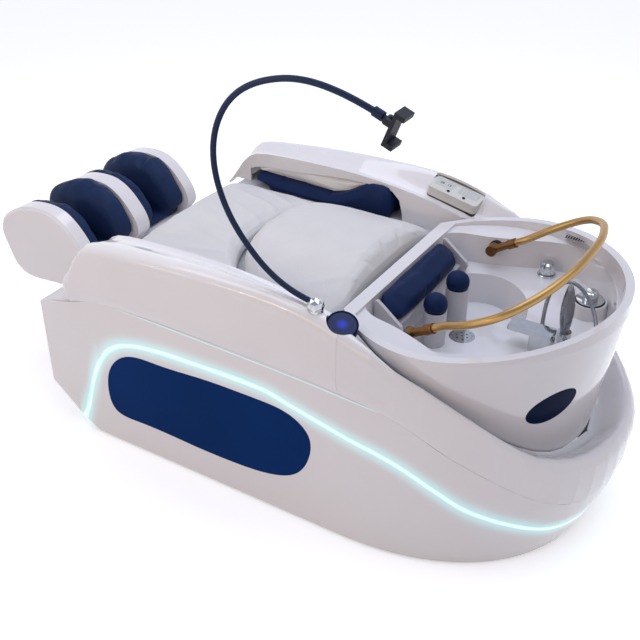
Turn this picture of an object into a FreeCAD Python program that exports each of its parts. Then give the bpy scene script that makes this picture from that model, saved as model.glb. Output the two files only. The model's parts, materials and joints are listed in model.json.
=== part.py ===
import FreeCAD, Part
import Sketcher
import math
import os
import re

# Hair washing bed: a full-length salon bed with a basin at the head end, hollow massage armrests
# and a leg massager at the foot end.
# Units are millimetres. +X runs to the head, +Y to the side away from the touch disc, +Z up.
# The origin is the centre of the whole object on the floor.

V = FreeCAD.Vector
os.makedirs("parts", exist_ok=True)
doc = FreeCAD.newDocument("hair_washing_bed")
sheet = doc.addObject("Spreadsheet::Sheet", "sizes")

# Driving sizes, each written once. One that DATUMS names is kept as its distance from another size.
DRIVING = dict(
    # overall shell
    half_length=1045.0, base_half_width=477.0, arm_bulge=11.0, crown_height=748.0, floor_gap=8.0,
    shell_wall=8.0, nose_start=-660.0, nose_flare=87.0, flare_height=290.0, skirt_height=-188.0,
    foot_end_x=-340.0, rake_foot_x=-125.0, rake_floor_x=-185.0, rake_low_z=40.0, rake_high_z=147.0,
    band_half=6.0, overrun=60.0, seam_gap=0.5, cut_depth=700.0,
    # armrests and collar
    band_width=116.0, collar_lip_depth=61.6, deck_top=-158.0, deck_thickness=12.0,
    ledge_thickness=6.0, deck_foot_x=-200.0, deck_head_x=-5.0, soft_gap=0.3, fit_gap=0.05, seat_gap=4.0,
    # side window panels
    panel_thickness=5.0, panel_fit=0.4,
    # steel frame and feet
    rail=40.0, rail_y=-177.0, rail_foot_x=-145.0, rail_head_x=184.0, foot_radius=28.0,
    foot_height=10.0, stem_radius=6.0, frame_bottom=30.0, post_foot_x=-25.0, post_mid_x=100.0,
    post_head_x=-82.0, saddle_x=-16.0,
    # cushions
    seat_top=60.0, seat_foot_x=-9.0, fold_x=172.0, seat_half=-155.0, back_top=108.0,
    back_head_x=-7.0, cushion_corner=60.0, arm_pad_outer=-15.0, arm_pad_foot_x=-55.0,
    arm_pad_end_gap=11.5, lower_pad_height=50.0, upper_pad_height=36.0, upper_pad_gap=4.0, arm_slot=14.0,
    # leg rest
    leg_half_width=-22.0, leg_wall=55.0, leg_mid_wall=60.0, leg_head_x=7.0, leg_top=62.0,
    leg_bottom=-276.0, trough_floor=-200.0, calf_pad=44.0, calf_pad_base=18.0, calf_pad_rise=10.0,
    rod_radius=12.5, rod_y=-110.0, rod_z=49.0, rod_head_x=-305.0, sleeve_radius=18.0,
    sleeve_head_x=40.0, sleeve_foot_x=-15.0,
    # basin
    basin_x=-469.0, basin_reach=404.0, basin_half=-30.0, basin_front_x=-279.0, rim_height=-64.0,
    rim_slope=0.10, rim_curve=5.0, rim_pole_x=79.0, rim_curve_run=350.0, rim_width=22.0,
    basin_skirt_z=-384.0, skirt_taper_x=55.0, skirt_taper_y=80.0, basin_wall=12.0, shelf_z=-36.0,
    deck_z=-124.0, bowl_floor_z=-86.0, bowl_x=-51.0, bowl_reach=172.0, bowl_half=-212.0,
    bowl_draft=18.0, front_lip=43.0, shoulder_gap=7.0,
    # drain and supply tails
    grate_radius=38.0, grate_thickness=4.0, grate_hole=3.0, waste_radius=20.0, waste_wall=2.5,
    trap_radius=34.0, trap_height=60.0, waste_end_z=60.0, tail_radius=8.0, tail_spacing=50.0,
    tail_end_z=70.0, tail_x=214.0,
    # neck rest and head supports
    pillow_front_x=51.0, pillow_half=204.0, pillow_top_z=95.0, pillow_length=80.0, pillow_dip=8.0,
    fin_thickness=12.0, fin_y=4.5, carrier_z=14.0, carrier_thickness=6.0, post_top_z=25.0,
    ball_x=170.0, ball_y=74.0, ball_z=43.0, ball_radius=36.0, post_radius=34.0,
    # rain bar
    pivot_x=-90.0, pivot_z=62.0, bush_y=-149.0, bar_radius=11.0, bar_wall=1.5, bar_tilt=31.0,
    bar_reach=438.0, bar_spread=-129.0, bar_half=-167.0, elbow_radius=17.0, elbow_length=34.0,
    pin_radius=8.0, bush_radius=19.0, bush_length=22.0, bush_gap=1.0, ferrule_radius=15.0,
    ferrule_length=26.0, stub_length=58.0,
    # taps on the basin deck
    mixer_x=255.0, mixer_y=184.0, boss_radius=56.0, boss_height=38.0, plate_radius=40.0,
    plate_thickness=5.0, gasket_radius=43.0, gasket_thickness=2.0, dome_radius=22.0, dome_height=26.0,
    lever_length=78.0, lever_width=14.0, lever_thickness=6.0, lever_pin_radius=3.0, turn_gap=0.4,
    lever_heading=160.0,
    knob_x=74.0, knob_y=-121.0, knob_radius=24.0, knob_height=38.0, knob_flange_radius=28.0,
    knob_flange_height=6.0, spindle_radius=10.0,
    tap_x=209.0, tap_y=72.0, column_width=46.0, column_depth=62.0, column_height=50.0,
    spout_length=124.0, spout_width=54.0, spout_thickness=12.0,
    shower_x=246.0, shower_y=2.0, shower_height=176.0, shower_radius=11.0, shower_head_radius=19.0,
    shower_turn=31.7, dock_radius=20.0, dock_height=30.0, dock_gap=0.4, dock_depth=26.0,
    hose_radius=6.0, hose_bore=4.0, outlet_x=176.0, outlet_y=22.0, outlet_radius=11.0,
    outlet_height=14.0, nipple_radius=7.5, nipple_length=9.0, nipple_z=16.0, nipple_turn=-60.0,
    vent_foot_x=96.0, vent_head_x=192.0, vent_width=26.0, vent_thickness=3.0, vent_slot=4.0,
    vent_z=4.0, vent_lean=20.0,
    # portholes
    port_x=308.0, port_z=-184.0, port_long=78.0, port_short=50.0, port_tilt=18.0,
    # control panel
    panel_x=-95.0, panel_y=-53.0, bezel_length=176.0, bezel_width=76.0, bezel_thickness=32.0,
    bezel_corner=14.0, bezel_rise=9.0, panel_cant=6.0, screen_length=62.0, screen_width=40.0,
    screen_depth=3.0, screen_x=44.0, key_radius=5.0, key_height=6.0, key_stand=2.0, key_travel=1.2,
    key_gap=0.2, key_x=8.0, key_spacing=56.0, key_y=22.0,
    # touch disc
    disc_x=-14.0, disc_y=-43.0, disc_radius=39.0, disc_thickness=22.0, disc_ring=4.0, disc_rise=6.0,
    disc_cant=-18.0, disc_fall=16.0,
    # gooseneck phone holder
    neck_x=-85.0, neck_y=-27.0, neck_z=-12.0, neck_sweep=315.0, neck_rise=609.0, neck_radius=8.0,
    socket_radius=21.0, socket_height=26.0, ball_joint_radius=15.0, swivel_pin_radius=6.0,
    swivel_pin_depth=18.0, collar_radius=12.0, collar_length=26.0, clamp_width=46.0, clamp_plate=10.0,
    clamp_height=76.0, jaw_reach=28.0, jaw_thickness=12.0, clamp_pin_radius=4.0, clamp_ear=8.0,
    guide_radius=4.0, guide_length=30.0,
    # mains lead entry
    gland_y=-147.0, gland_z=210.0, gland_radius=17.0, gland_neck=12.0, gland_bore=5.0, gland_head=7.0,
    # works inside
    pump_radius=48.0, pump_length=130.0, tank_radius=110.0, tank_length=300.0, box_length=200.0,
    box_width=140.0, box_height=90.0, tray_thickness=4.0,
)

# What each measured size starts from
DATUMS = dict(
    half_length="nose_start foot_end_x basin_x",
    foot_end_x="rake_foot_x rake_floor_x deck_foot_x rail_foot_x leg_head_x rod_head_x sleeve_foot_x",
    deck_foot_x="post_foot_x seat_foot_x arm_pad_foot_x",
    rod_head_x="sleeve_head_x",
    nose_start="panel_x disc_x neck_x",
    basin_x="basin_front_x rim_pole_x bowl_x saddle_x rail_head_x tail_x pivot_x port_x mixer_x knob_x "
            "tap_x shower_x outlet_x vent_foot_x vent_head_x",
    basin_front_x="deck_head_x post_head_x back_head_x pillow_front_x ball_x",
    base_half_width="rail_y seat_half arm_pad_outer basin_half panel_y disc_y neck_y gland_y",
    seat_half="leg_half_width",
    leg_half_width="rod_y",
    basin_half="bowl_half bush_y bar_half bar_spread knob_y",
    pillow_half="fin_y",
    crown_height="deck_top rim_height skirt_height neck_z",
    deck_top="seat_top back_top leg_top",
    leg_top="leg_bottom trough_floor",
    leg_bottom="rod_z",
    rim_height="shelf_z deck_z basin_skirt_z port_z",
    shelf_z="vent_z",
    deck_z="bowl_floor_z pillow_top_z carrier_z post_top_z ball_z pivot_z nipple_z",
)
DATUM_OF = {name: datum for datum, names in DATUMS.items() for name in names.split()}

for row, (name, value) in enumerate(DRIVING.items(), start=1):
    sheet.set(f"A{row}", name)
    sheet.set(f"B{row}", str(value))
    sheet.setAlias(f"B{row}", name)
doc.recompute()


class Sizes:
    """Reads sizes from the sheet, each measured one from its datum."""

    def __getattr__(self, name):
        own = float(getattr(sheet, name))
        return own + getattr(self, DATUM_OF[name]) if name in DATUM_OF else own


S = Sizes()


def bound(text):
    """Turns plain size names in a formula into references to the sheet."""

    def cell(found):
        name = found.group()
        if name not in DRIVING:
            return name
        return f"(sizes.{name} + {bound(DATUM_OF[name])})" if name in DATUM_OF else f"sizes.{name}"

    return re.sub(r"[a-z_]\w*", cell, text)


PIECES = {}


def keep(label, item):
    """Names a finished sub-part."""
    item.Label = label
    PIECES[label] = item
    return item


def shaped(label, shape):
    """A sub-part whose form is built by surfaces."""
    item = doc.addObject("Part::Feature", label)
    item.Shape = shape
    return keep(label, item)


def place(item, at=("0", "0", "0"), turn=None):
    """Turns an object, then binds its place to formulas of the sizes."""
    if turn is not None:
        item.Placement = FreeCAD.Placement(V(0, 0, 0), turn)
    for axis, formula in zip("xyz", at):
        item.setExpression(f"Placement.Base.{axis}", bound(formula))
    return item


ALONG_X = FreeCAD.Rotation(V(0, 1, 0), 90)
ALONG_Y = FreeCAD.Rotation(V(1, 0, 0), -90)
MINUS_Y = FreeCAD.Rotation(V(1, 0, 0), 90)


def block(name, length, width, height, at=("0", "0", "0"), turn=None):
    """A box whose sides are formulas; its place is its low corner."""
    item = doc.addObject("Part::Box", name)
    for side, formula in zip(("Length", "Width", "Height"), (length, width, height)):
        item.setExpression(side, bound(formula))
    return place(item, at, turn)


def rod(name, radius, height, at=("0", "0", "0"), turn=None):
    """A cylinder whose place is the centre of its first end."""
    item = doc.addObject("Part::Cylinder", name)
    item.setExpression("Radius", bound(radius))
    item.setExpression("Height", bound(height))
    return place(item, at, turn)


def joined(label, items):
    """One solid, or a group of separate ones, from several objects."""
    item = doc.addObject("Part::MultiFuse", label)
    item.Shapes = items
    return item


def minus(label, base, tool):
    """What is left of the base once the tool is cut from it."""
    item = doc.addObject("Part::Cut", label)
    item.Base = base
    item.Tool = tool
    return item


# Sketch-based bodies
def body_of(label):
    return doc.addObject("PartDesign::Body", label)


def flat_sketch(body, name, role="XY_Plane"):
    """An empty sketch on one of the body's own planes."""
    sketch = body.newObject("Sketcher::SketchObject", name)
    origin_plane = next(item for item in body.Origin.OriginFeatures if item.Role == role)
    sketch.AttachmentSupport = [(origin_plane, "")]
    sketch.MapMode = "FlatFace"
    return sketch


def circle_in(sketch, radius, x="0", y="0"):
    """A circle whose radius and centre follow the sizes."""
    spot = sketch.addGeometry(Part.Circle(V(0, 0, 0), V(0, 0, 1), 1), False)
    for kind, formula in (("Radius", radius), ("DistanceX", x), ("DistanceY", y)):
        if kind == "Radius":
            index = sketch.addConstraint(Sketcher.Constraint(kind, spot, 1.0))
        elif formula == "0":
            continue
        else:
            index = sketch.addConstraint(Sketcher.Constraint(kind, -1, 1, spot, 3, 1.0))
        sketch.setExpression(f"Constraints[{index}]", bound(formula))
    return spot


def rounded_in(sketch, length, width, corner):
    """A rectangle with round corners, centred on the sketch's origin."""
    a, b, r = length / 2, width / 2, corner
    corners = ((a - r, b - r, 0), (r - a, b - r, 90), (r - a, r - b, 180), (a - r, r - b, 270))
    for index, (x, y, start) in enumerate(corners):
        circle = Part.Circle(V(x, y, 0), V(0, 0, 1), r)
        sketch.addGeometry(Part.ArcOfCircle(circle, math.radians(start), math.radians(start + 90)), False)
    ends = ((a - r, b, r - a, b), (-a, b - r, -a, r - b), (r - a, -b, a - r, -b), (a, r - b, a, b - r))
    for x1, y1, x2, y2 in ends:
        sketch.addGeometry(Part.LineSegment(V(x1, y1, 0), V(x2, y2, 0)), False)


def outline_in(sketch, points):
    """A closed outline of straight lines."""
    for start, end in zip(points, points[1:] + points[:1]):
        sketch.addGeometry(Part.LineSegment(V(*start, 0), V(*end, 0)), False)


def pad_of(body, sketch, name, height):
    pad = body.newObject("PartDesign::Pad", name)
    pad.Profile = sketch
    pad.setExpression("Length", bound(height))
    return pad


def turned(label, points, at, turn=None):
    """A round piece revolved from half its section, given as (radius, height) points."""
    body = body_of(label)
    sketch = flat_sketch(body, label + "_section", "XZ_Plane")
    outline_in(sketch, points)
    spin = body.newObject("PartDesign::Revolution", label + "_turning")
    spin.Profile = sketch
    spin.ReferenceAxis = (sketch, ["V_Axis"])
    spin.Angle = 360
    return place(body, at, turn)


# Forms that follow the shell
def follow(table, x, length, height):
    """Height of a smooth line through share points (x, z) at the place x."""
    points = [(share_x * length, share_z * height) for share_x, share_z in table]
    if x <= points[0][0]:
        return points[0][1]
    for i in range(len(points) - 1):
        (x0, z0), (x1, z1) = points[i], points[i + 1]
        if x > x1:
            continue
        before = points[max(i - 1, 0)]
        after = points[min(i + 2, len(points) - 1)]
        m0 = (z1 - before[1]) / (x1 - before[0])
        m1 = (after[1] - z0) / (after[0] - x0)
        run = x1 - x0
        u = (x - x0) / run
        return ((2 * u**3 - 3 * u**2 + 1) * z0 + (u**3 - 2 * u**2 + u) * run * m0
                + (3 * u**2 - 2 * u**3) * z1 + (u**3 - u**2) * run * m1)
    return points[-1][1]


# Share points (x, z) of half the length and of the crown height
LED_SHARES = ((-.562, .020), (-.5505, .060), (-.543, .096), (-.488, .314), (-.459, .396), (-.419, .468),
              (-.336, .537), (-.220, .561), (-.077, .572), (.115, .575), (.229, .545), (.377, .500),
              (.502, .461), (.633, .370), (.710, .299), (.780, .251), (.844, .205), (.915, .143),
              (.956, .120), (1.01, .112))
CREASE_SHARES = ((-.70, .592), (-.675, .602), (-.579, .635), (-.498, .675), (-.321, .702), (.096, .698),
                 (.287, .689), (.400, .675), (.491, .655), (.574, .608), (.627, .561), (.752, .455),
                 (.870, .340), (.960, .262), (1.04, .225))
CROWN_SHARES = ((-.5445, .782), (-.524, .842), (-.502, .889), (-.464, .939), (-.301, .973), (-.139, .992),
                (.005, 1.0), (.177, 1.0), (.273, .983), (.354, .952), (.421, .918), (.479, .875),
                (.579, .790), (.666, .690), (.752, .600), (.830, .545), (.900, .497), (.962, .463),
                (1.04, .452))
LIP_SHARES = ((-.5445, .762), (-.522, .802), (-.478, .889), (-.426, .936), (-.271, .955), (-.065, .960),
              (.072, .947), (.189, .925), (.281, .895), (.383, .862), (.479, .825), (.558, .785),
              (.627, .715), (.693, .635), (.754, .548), (.804, .475), (.844, .421), (.890, .388))
WINDOW_SHARES = ((-.4550, .855), (-.411, .876), (-.260, .894), (-.107, .920), (.075, .922), (.112, .884),
                 (.124, .818))
NOSE_POWER = 2.2
BASIN_POWER = 1.87


def along(table, x):
    return follow(table, x, S.half_length, S.crown_height)


def nose_reach(z, inset=0.0):
    """How far the nose runs beyond its start at the height z."""
    low = S.half_length - S.nose_start - S.nose_flare
    share = min(z / S.flare_height, 1.0)
    return low + S.nose_flare * math.sin(math.pi / 2 * share) - inset


def nose_point(angle, z, inset=0.0):
    """A point of the shell's plan outline round the nose, from 0 at its side to 90 degrees at its tip."""
    c, s = abs(math.cos(angle)), math.sin(angle)
    return (S.nose_start + nose_reach(z, inset) * s ** (2 / NOSE_POWER),
            (S.base_half_width - inset) * c ** (2 / NOSE_POWER))


NOSE_STEPS = 12


def curve(points):
    spline = Part.BSplineCurve()
    spline.interpolate(points)
    return spline.toShape()


def shell_section(z, foot_x, inset):
    """The plan outline of the shell at one height."""
    half = S.base_half_width - inset
    angles = [math.pi / 2 * i / NOSE_STEPS for i in range(NOSE_STEPS + 1)]
    near = [nose_point(a, z, inset) for a in angles]
    nose = [V(x, -y, z) for x, y in near] + [V(x, y, z) for x, y in near[-2::-1]]
    foot = inset - foot_x
    return Part.Wire([Part.makeLine(V(foot, -half, z), V(S.nose_start, -half, z)), curve(nose),
                      Part.makeLine(V(S.nose_start, half, z), V(foot, half, z)),
                      Part.makeLine(V(foot, half, z), V(foot, -half, z))])


def shell_loft(inset, low, high):
    levels = [(low, S.rake_floor_x), (S.rake_low_z, S.rake_foot_x), (S.rake_high_z, S.foot_end_x),
              (S.flare_height * .75, S.foot_end_x), (S.flare_height, S.foot_end_x), (high, S.foot_end_x)]
    return Part.makeLoft([shell_section(z, foot, inset) for z, foot in levels], True, True)


def across(outline):
    """A closed outline in the side view, carried right across the width."""
    solid = Part.Face(outline).extrude(V(0, 2 * S.cut_depth, 0))
    solid.translate(V(0, -S.cut_depth, 0))
    return solid


def side_region(line, reach_down, raise_by=0.0):
    """Everything below (or above) a line of the side view, right across the width."""
    far = S.half_length * 1.3
    points = [V(x * S.half_length, 0, z * S.crown_height + raise_by) for x, z in line]
    points = [V(-far, 0, points[0].z)] + points + [V(far, 0, points[-1].z)]
    edge = curve(points[1:-1])
    z_end = -S.overrun if reach_down else S.crown_height + S.cut_depth
    corners = [points[-2], V(far, 0, points[-1].z), V(far, 0, z_end), V(-far, 0, z_end),
               V(-far, 0, points[0].z), points[1]]
    lines = [Part.makeLine(a, b) for a, b in zip(corners, corners[1:])]
    return across(Part.Wire([edge] + lines))


LED_STEPS = 40


def led_band(half):
    """The region swept by the light line in the side view, half the given width each way."""
    points = [V(x * S.half_length, 0, z * S.crown_height) for x, z in LED_SHARES]
    spline = Part.BSplineCurve()
    spline.interpolate(points)
    first, last = spline.FirstParameter, spline.LastParameter
    sides = ([], [])
    for i in range(LED_STEPS + 1):
        u = first + (last - first) * i / LED_STEPS
        spot, way = spline.value(u), spline.tangent(u)[0]
        square = V(-way.z, 0, way.x)
        sides[0].append(spot + square * half)
        sides[1].append(spot - square * half)
    upper, lower = curve(sides[0]), curve(sides[1])
    ends = [Part.makeLine(sides[0][-1], sides[1][-1]), Part.makeLine(sides[1][0], sides[0][0])]
    return across(Part.Wire([upper, ends[0], lower, ends[1]])), lower


def below_led(lower_edge):
    """The region below the light line."""
    far = S.half_length * 1.3
    start = lower_edge.valueAt(lower_edge.FirstParameter)
    end = lower_edge.valueAt(lower_edge.LastParameter)
    corners = [end, V(far, 0, end.z), V(far, 0, -S.overrun), V(start.x, 0, -S.overrun), start]
    lines = [Part.makeLine(a, b) for a, b in zip(corners, corners[1:])]
    return across(Part.Wire([lower_edge] + lines))


# Body shells: a hollow skirt split along the light line
outer = shell_loft(0, S.floor_gap, S.skirt_height)
inner = shell_loft(S.shell_wall, S.floor_gap - S.overrun, S.skirt_height + S.overrun)
skirt = outer.cut(inner)
band, band_low = led_band(S.band_half)
low_region = below_led(band_low)
crest_region = side_region(CREASE_SHARES, True)
led_ring = skirt.common(band)
lower = skirt.common(low_region)
upper = skirt.cut(low_region).cut(band).common(crest_region)


def window_outline(points, y):
    """A closed smooth outline on a side plane, from share points."""
    spline = Part.BSplineCurve()
    spots = [V(x * S.half_length, y, z * S.crown_height) for x, z in points]
    spline.interpolate(spots, PeriodicFlag=True)
    return Part.Face(Part.Wire([spline.toShape()]))


PANEL_SHARES = ((-.353, .475), (-.415, .395), (-.439, .270), (-.420, .172), (-.330, .153), (-.120, .150),
                (.039, .153), (.150, .172), (.235, .225), (.280, .330), (.279, .440), (.235, .495),
                (.120, .519), (-.078, .513), (-.230, .498))


def side_pocket(side):
    """The recess in a side wall that the dark window panel fills."""
    face = window_outline(PANEL_SHARES, side * S.base_half_width)
    return face.extrude(V(0, -side * S.panel_thickness, 0))


def side_panel(side):
    face = window_outline(PANEL_SHARES, side * S.base_half_width)
    slab = face.extrude(V(0, -side * (S.panel_thickness), 0))
    centre = slab.BoundBox.Center
    grow = FreeCAD.Matrix()
    size_x = 1 - 2 * S.panel_fit / slab.BoundBox.XLength
    size_z = 1 - 2 * S.panel_fit / slab.BoundBox.ZLength
    grow.scale(size_x, 1, size_z)
    grow.move(V(centre.x * (1 - size_x), 0, centre.z * (1 - size_z)))
    return slab.transformGeometry(grow)


lower = lower.cut(side_pocket(-1)).cut(side_pocket(1))
rod_holes = [Part.makeCylinder(S.sleeve_radius + S.seat_gap, S.overrun,
                               V(-S.foot_end_x - S.overrun / 2, side * S.rod_y, S.rod_z), V(1, 0, 0))
             for side in (-1, 1)]
gland_hole = Part.makeCylinder(S.gland_neck + S.panel_fit, S.overrun,
                               V(-S.foot_end_x - S.overrun / 2, -S.gland_y, S.gland_z), V(1, 0, 0))
upper = upper.cut(rod_holes[0]).cut(rod_holes[1]).cut(gland_hole)
crease_trim = shell_loft(-S.overrun, S.floor_gap, S.skirt_height).cut(
    shell_loft(2 * S.shell_wall, S.floor_gap - S.overrun, S.skirt_height + S.overrun)).common(
    side_region(CREASE_SHARES, True, S.seam_gap))


def mouldings(shell):
    """A ring of the skirt as it is moulded: two sides, a foot panel between them and the nose."""
    reach = S.half_length + S.overrun
    inner_half = S.base_half_width - S.shell_wall
    nose_zone = Part.makeBox(reach, 2 * reach, S.crown_height, V(S.nose_start, -reach, 0))
    foot_zone = Part.makeBox(reach, 2 * inner_half, S.crown_height, V(-reach, -inner_half, 0))
    rest = shell.cut(nose_zone)
    return Part.makeCompound([shell.common(nose_zone), rest.common(foot_zone), rest.cut(foot_zone)])


shaped("lower_shell", mouldings(lower))
shaped("led_strip", mouldings(led_ring))
shaped("upper_shell", mouldings(upper))
shaped("side_panels", Part.makeCompound([side_panel(-1), side_panel(1)]))


# Armrests and collar: one hooked section carried along the shell's edge
def basin_half_at(x, z, inset=0.0):
    """Half the basin's outside width at the place x and height z."""
    sink = max((S.rim_height - z) / (S.rim_height - S.basin_skirt_z), 0)
    reach = S.basin_reach - S.skirt_taper_x * sink - inset
    half = S.basin_half - S.skirt_taper_y * sink - inset
    share = min(abs(x - S.basin_x) / reach, 1.0)
    return half * (1 - share ** BASIN_POWER) ** (1 / BASIN_POWER)


# Shares of the hooked section. Its side: (bulge outwards, rise from crease to crown)
SIDE_SKIN_SHARES = ((.7, .12), (1, .40), (1, .72))
SIDE_LINING_SHARES = ((1, .66), (1, .40), (.7, .12))
# Its shoulder, ridge and middle: of the bulge, of the band's run inwards and of the drop at the ridge
SHOULDER_BULGE_SHARE, SHOULDER_RUN_SHARE = .5, .03
RIDGE_SHARE, RIDGE_LINING_SHARE = .16, .18
MIDDLE_SHARE, MIDDLE_CROWN_SHARE, MIDDLE_DROP_SHARE = .5, .45, .15


def middle_height(crown, lip, ridge_drop):
    """Height of the band halfway in."""
    return crown * MIDDLE_CROWN_SHARE + lip * (1 - MIDDLE_CROWN_SHARE) + ridge_drop * MIDDLE_DROP_SHARE


def hook_wire(place_at, crease, crown, lip, lip_foot, band_run, bulge, ridge_drop):
    """The closed hooked section at one station. place_at turns (inset, z) into a point."""
    t = S.shell_wall
    rise = crown - crease
    shoulder = band_run * SHOULDER_RUN_SHARE - bulge * SHOULDER_BULGE_SHARE
    middle = middle_height(crown, lip, ridge_drop)
    outside = [(0, crease)] + [(-bulge * out, crease + rise * up) for out, up in SIDE_SKIN_SHARES]
    outside += [(shoulder, crown - ridge_drop), (band_run * RIDGE_SHARE, crown),
                (band_run * MIDDLE_SHARE, middle), (band_run, lip)]
    inside = [(band_run - t, lip - t), (band_run * MIDDLE_SHARE, middle - t),
              (band_run * RIDGE_LINING_SHARE + t * .5, crown - t),
              (t + shoulder, crown - ridge_drop - t * .3)]
    inside += [(t - bulge * out, crease + rise * up) for out, up in SIDE_LINING_SHARES] + [(t, crease)]
    skin = curve([place_at(*p) for p in outside])
    lining = curve([place_at(*p) for p in inside])
    tip = [place_at(band_run, lip), place_at(band_run, lip_foot), place_at(band_run - t, lip_foot),
           place_at(band_run - t, lip - t)]
    edges = [skin] + [Part.makeLine(a, b) for a, b in zip(tip, tip[1:])] + [lining]
    edges.append(Part.makeLine(place_at(*inside[-1]), place_at(*outside[0])))
    return Part.Wire(edges)


# Share of the basin's reach, foot-wards of its middle, where the band starts to narrow round it
SHOULDER_START_SHARE = .69


def side_station(x, side):
    """The armrest's section at the place x on one straight side."""
    lip = along(LIP_SHARES, x)
    crown = along(CROWN_SHARES, x)
    crease = along(CREASE_SHARES, x) + S.seam_gap
    first, last = WINDOW_SHARES[0][0] * S.half_length, WINDOW_SHARES[-1][0] * S.half_length
    open_here = first <= x <= last
    lip_foot = along(WINDOW_SHARES, x) if open_here else S.deck_top + S.seam_gap
    lip_foot = min(lip_foot, lip - S.shell_wall - S.seam_gap)
    run = S.band_width
    if x > S.basin_x - S.basin_reach * SHOULDER_START_SHARE:
        run = min(run, S.base_half_width - basin_half_at(x, lip) - S.shoulder_gap)
    return hook_wire(lambda inset, z: V(x, side * (S.base_half_width - inset), z), crease, crown, lip,
                     lip_foot, run, S.arm_bulge, S.arm_bulge)


ARM_STATIONS = (-.5445, -.530, -.510, -.487, -.466, -.456, -.4549, -.430, -.390, -.330, -.250, -.150, -.050,
                .040, .085, .112, .1239, .1250, .180, .240, .283, .325)
arm_end = S.nose_start - S.seam_gap
arm_x = [share * S.half_length for share in ARM_STATIONS if share * S.half_length < arm_end - S.shell_wall]
arm_x.append(arm_end)
armrests = {side: Part.makeLoft([side_station(x, side) for x in arm_x], True, True) for side in (-1, 1)}

COLLAR_STEPS = 14
# The side's bulge fades out over this share of the way round, and the skin's own line over the next
BULGE_END_SHARE, SKIN_SHARE = 1 / 3, 1 / 4
NOSE_RIDGE_SHARE = 1.6


def collar_station(share, side):
    """The collar's section, from the armrest's end (0) to the nose tip (1)."""
    angle = math.pi / 2 * share
    x_out, y_out = nose_point(angle, S.flare_height)
    tip_in = S.basin_x + S.basin_reach - S.skirt_taper_x + S.shoulder_gap
    run_share = (x_out - S.nose_start) / (S.half_length - S.nose_start)
    x_in = S.nose_start + run_share * (tip_in - S.nose_start)
    lip = along(LIP_SHARES, x_in)
    y_in = min(basin_half_at(x_in, lip) + S.shoulder_gap, y_out - S.shell_wall * 3)
    if share == 1:
        y_in = 0.0
    crease = along(CREASE_SHARES, x_out) + S.seam_gap
    crown = max(along(CROWN_SHARES, x_out), lip + S.shell_wall)
    if y_in == 0.0:
        crown = along(CROWN_SHARES, x_out)
    fade = min(share / BULGE_END_SHARE, 1)
    bulge = S.arm_bulge * (1 - fade)
    run = math.hypot(x_out - x_in, y_out - y_in)

    def spot(inset, z):
        """Insets grow from the outer skin to the basin's wall."""
        deep = max(inset, 0) / run
        x0, y0 = nose_point(angle, min(z, S.flare_height), min(inset, 0))
        x1, y1 = x_out + (x_in - x_out) * deep, y_out + (y_in - y_out) * deep
        if deep == 0:
            return V(x0, side * y0, z)
        keep_out = max(1 - deep / SKIN_SHARE, 0)
        return V(x1 + (x0 - x_out) * keep_out, side * (y1 + (y0 - y_out) * keep_out), z)

    ridge_drop = S.arm_bulge * (1 + (NOSE_RIDGE_SHARE - 1) * fade)
    return hook_wire(spot, crease, crown, lip, lip - S.collar_lip_depth, run, bulge, ridge_drop)


near_half = [collar_station(i / COLLAR_STEPS, -1) for i in range(COLLAR_STEPS + 1)]
far_half = [collar_station(i / COLLAR_STEPS, 1) for i in range(COLLAR_STEPS - 1, -1, -1)]
collar = Part.makeLoft(near_half + far_half, True, True)


def band_z(x, inset):
    """Height of an armrest's top band at a place in from the shell's side."""
    share = min(inset / S.band_width, 1)
    crown, lip = along(CROWN_SHARES, x), along(LIP_SHARES, x)
    middle = middle_height(crown, lip, S.arm_bulge)
    if share < MIDDLE_SHARE:
        return crown + (middle - crown) * (share - RIDGE_SHARE) / (MIDDLE_SHARE - RIDGE_SHARE)
    return middle + (lip - middle) * (share - MIDDLE_SHARE) / (1 - MIDDLE_SHARE)


# The control panel, touch disc and gooseneck socket sit in cut-outs of the top band
panel_z = band_z(S.panel_x, S.base_half_width - S.panel_y) + S.bezel_rise
fall_near, fall_far = (band_z(S.panel_x + way * S.bezel_width, 0) for way in (-1, 1))
panel_fall = math.degrees(math.atan2(fall_near - fall_far, 2 * S.bezel_width))
panel_turn = FreeCAD.Rotation(V(0, 1, 0), panel_fall).multiply(FreeCAD.Rotation(V(1, 0, 0), S.panel_cant))
panel_at = V(S.panel_x, S.panel_y, panel_z)
disc_z = band_z(S.disc_x, S.base_half_width - S.disc_y) + S.disc_rise
disc_turn = FreeCAD.Rotation(V(0, 1, 0), S.disc_fall).multiply(FreeCAD.Rotation(V(1, 0, 0), -S.disc_cant))
disc_at = V(S.disc_x, -S.disc_y, disc_z)


def set_in(shape, at, turn):
    """Puts a shape made about its own origin at a place on the band."""
    moved = shape.copy()
    moved.Placement = FreeCAD.Placement(at, turn)
    return moved


def round_slab(length, width, corner, low, high):
    """A slab with round corners, centred in plan."""
    slab = Part.makeBox(length, width, high - low, V(-length / 2, -width / 2, low))
    uprights = [e for e in slab.Edges if abs(e.Vertexes[0].Z - e.Vertexes[-1].Z) > (high - low) / 2]
    return slab.makeFillet(corner, uprights)


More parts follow.
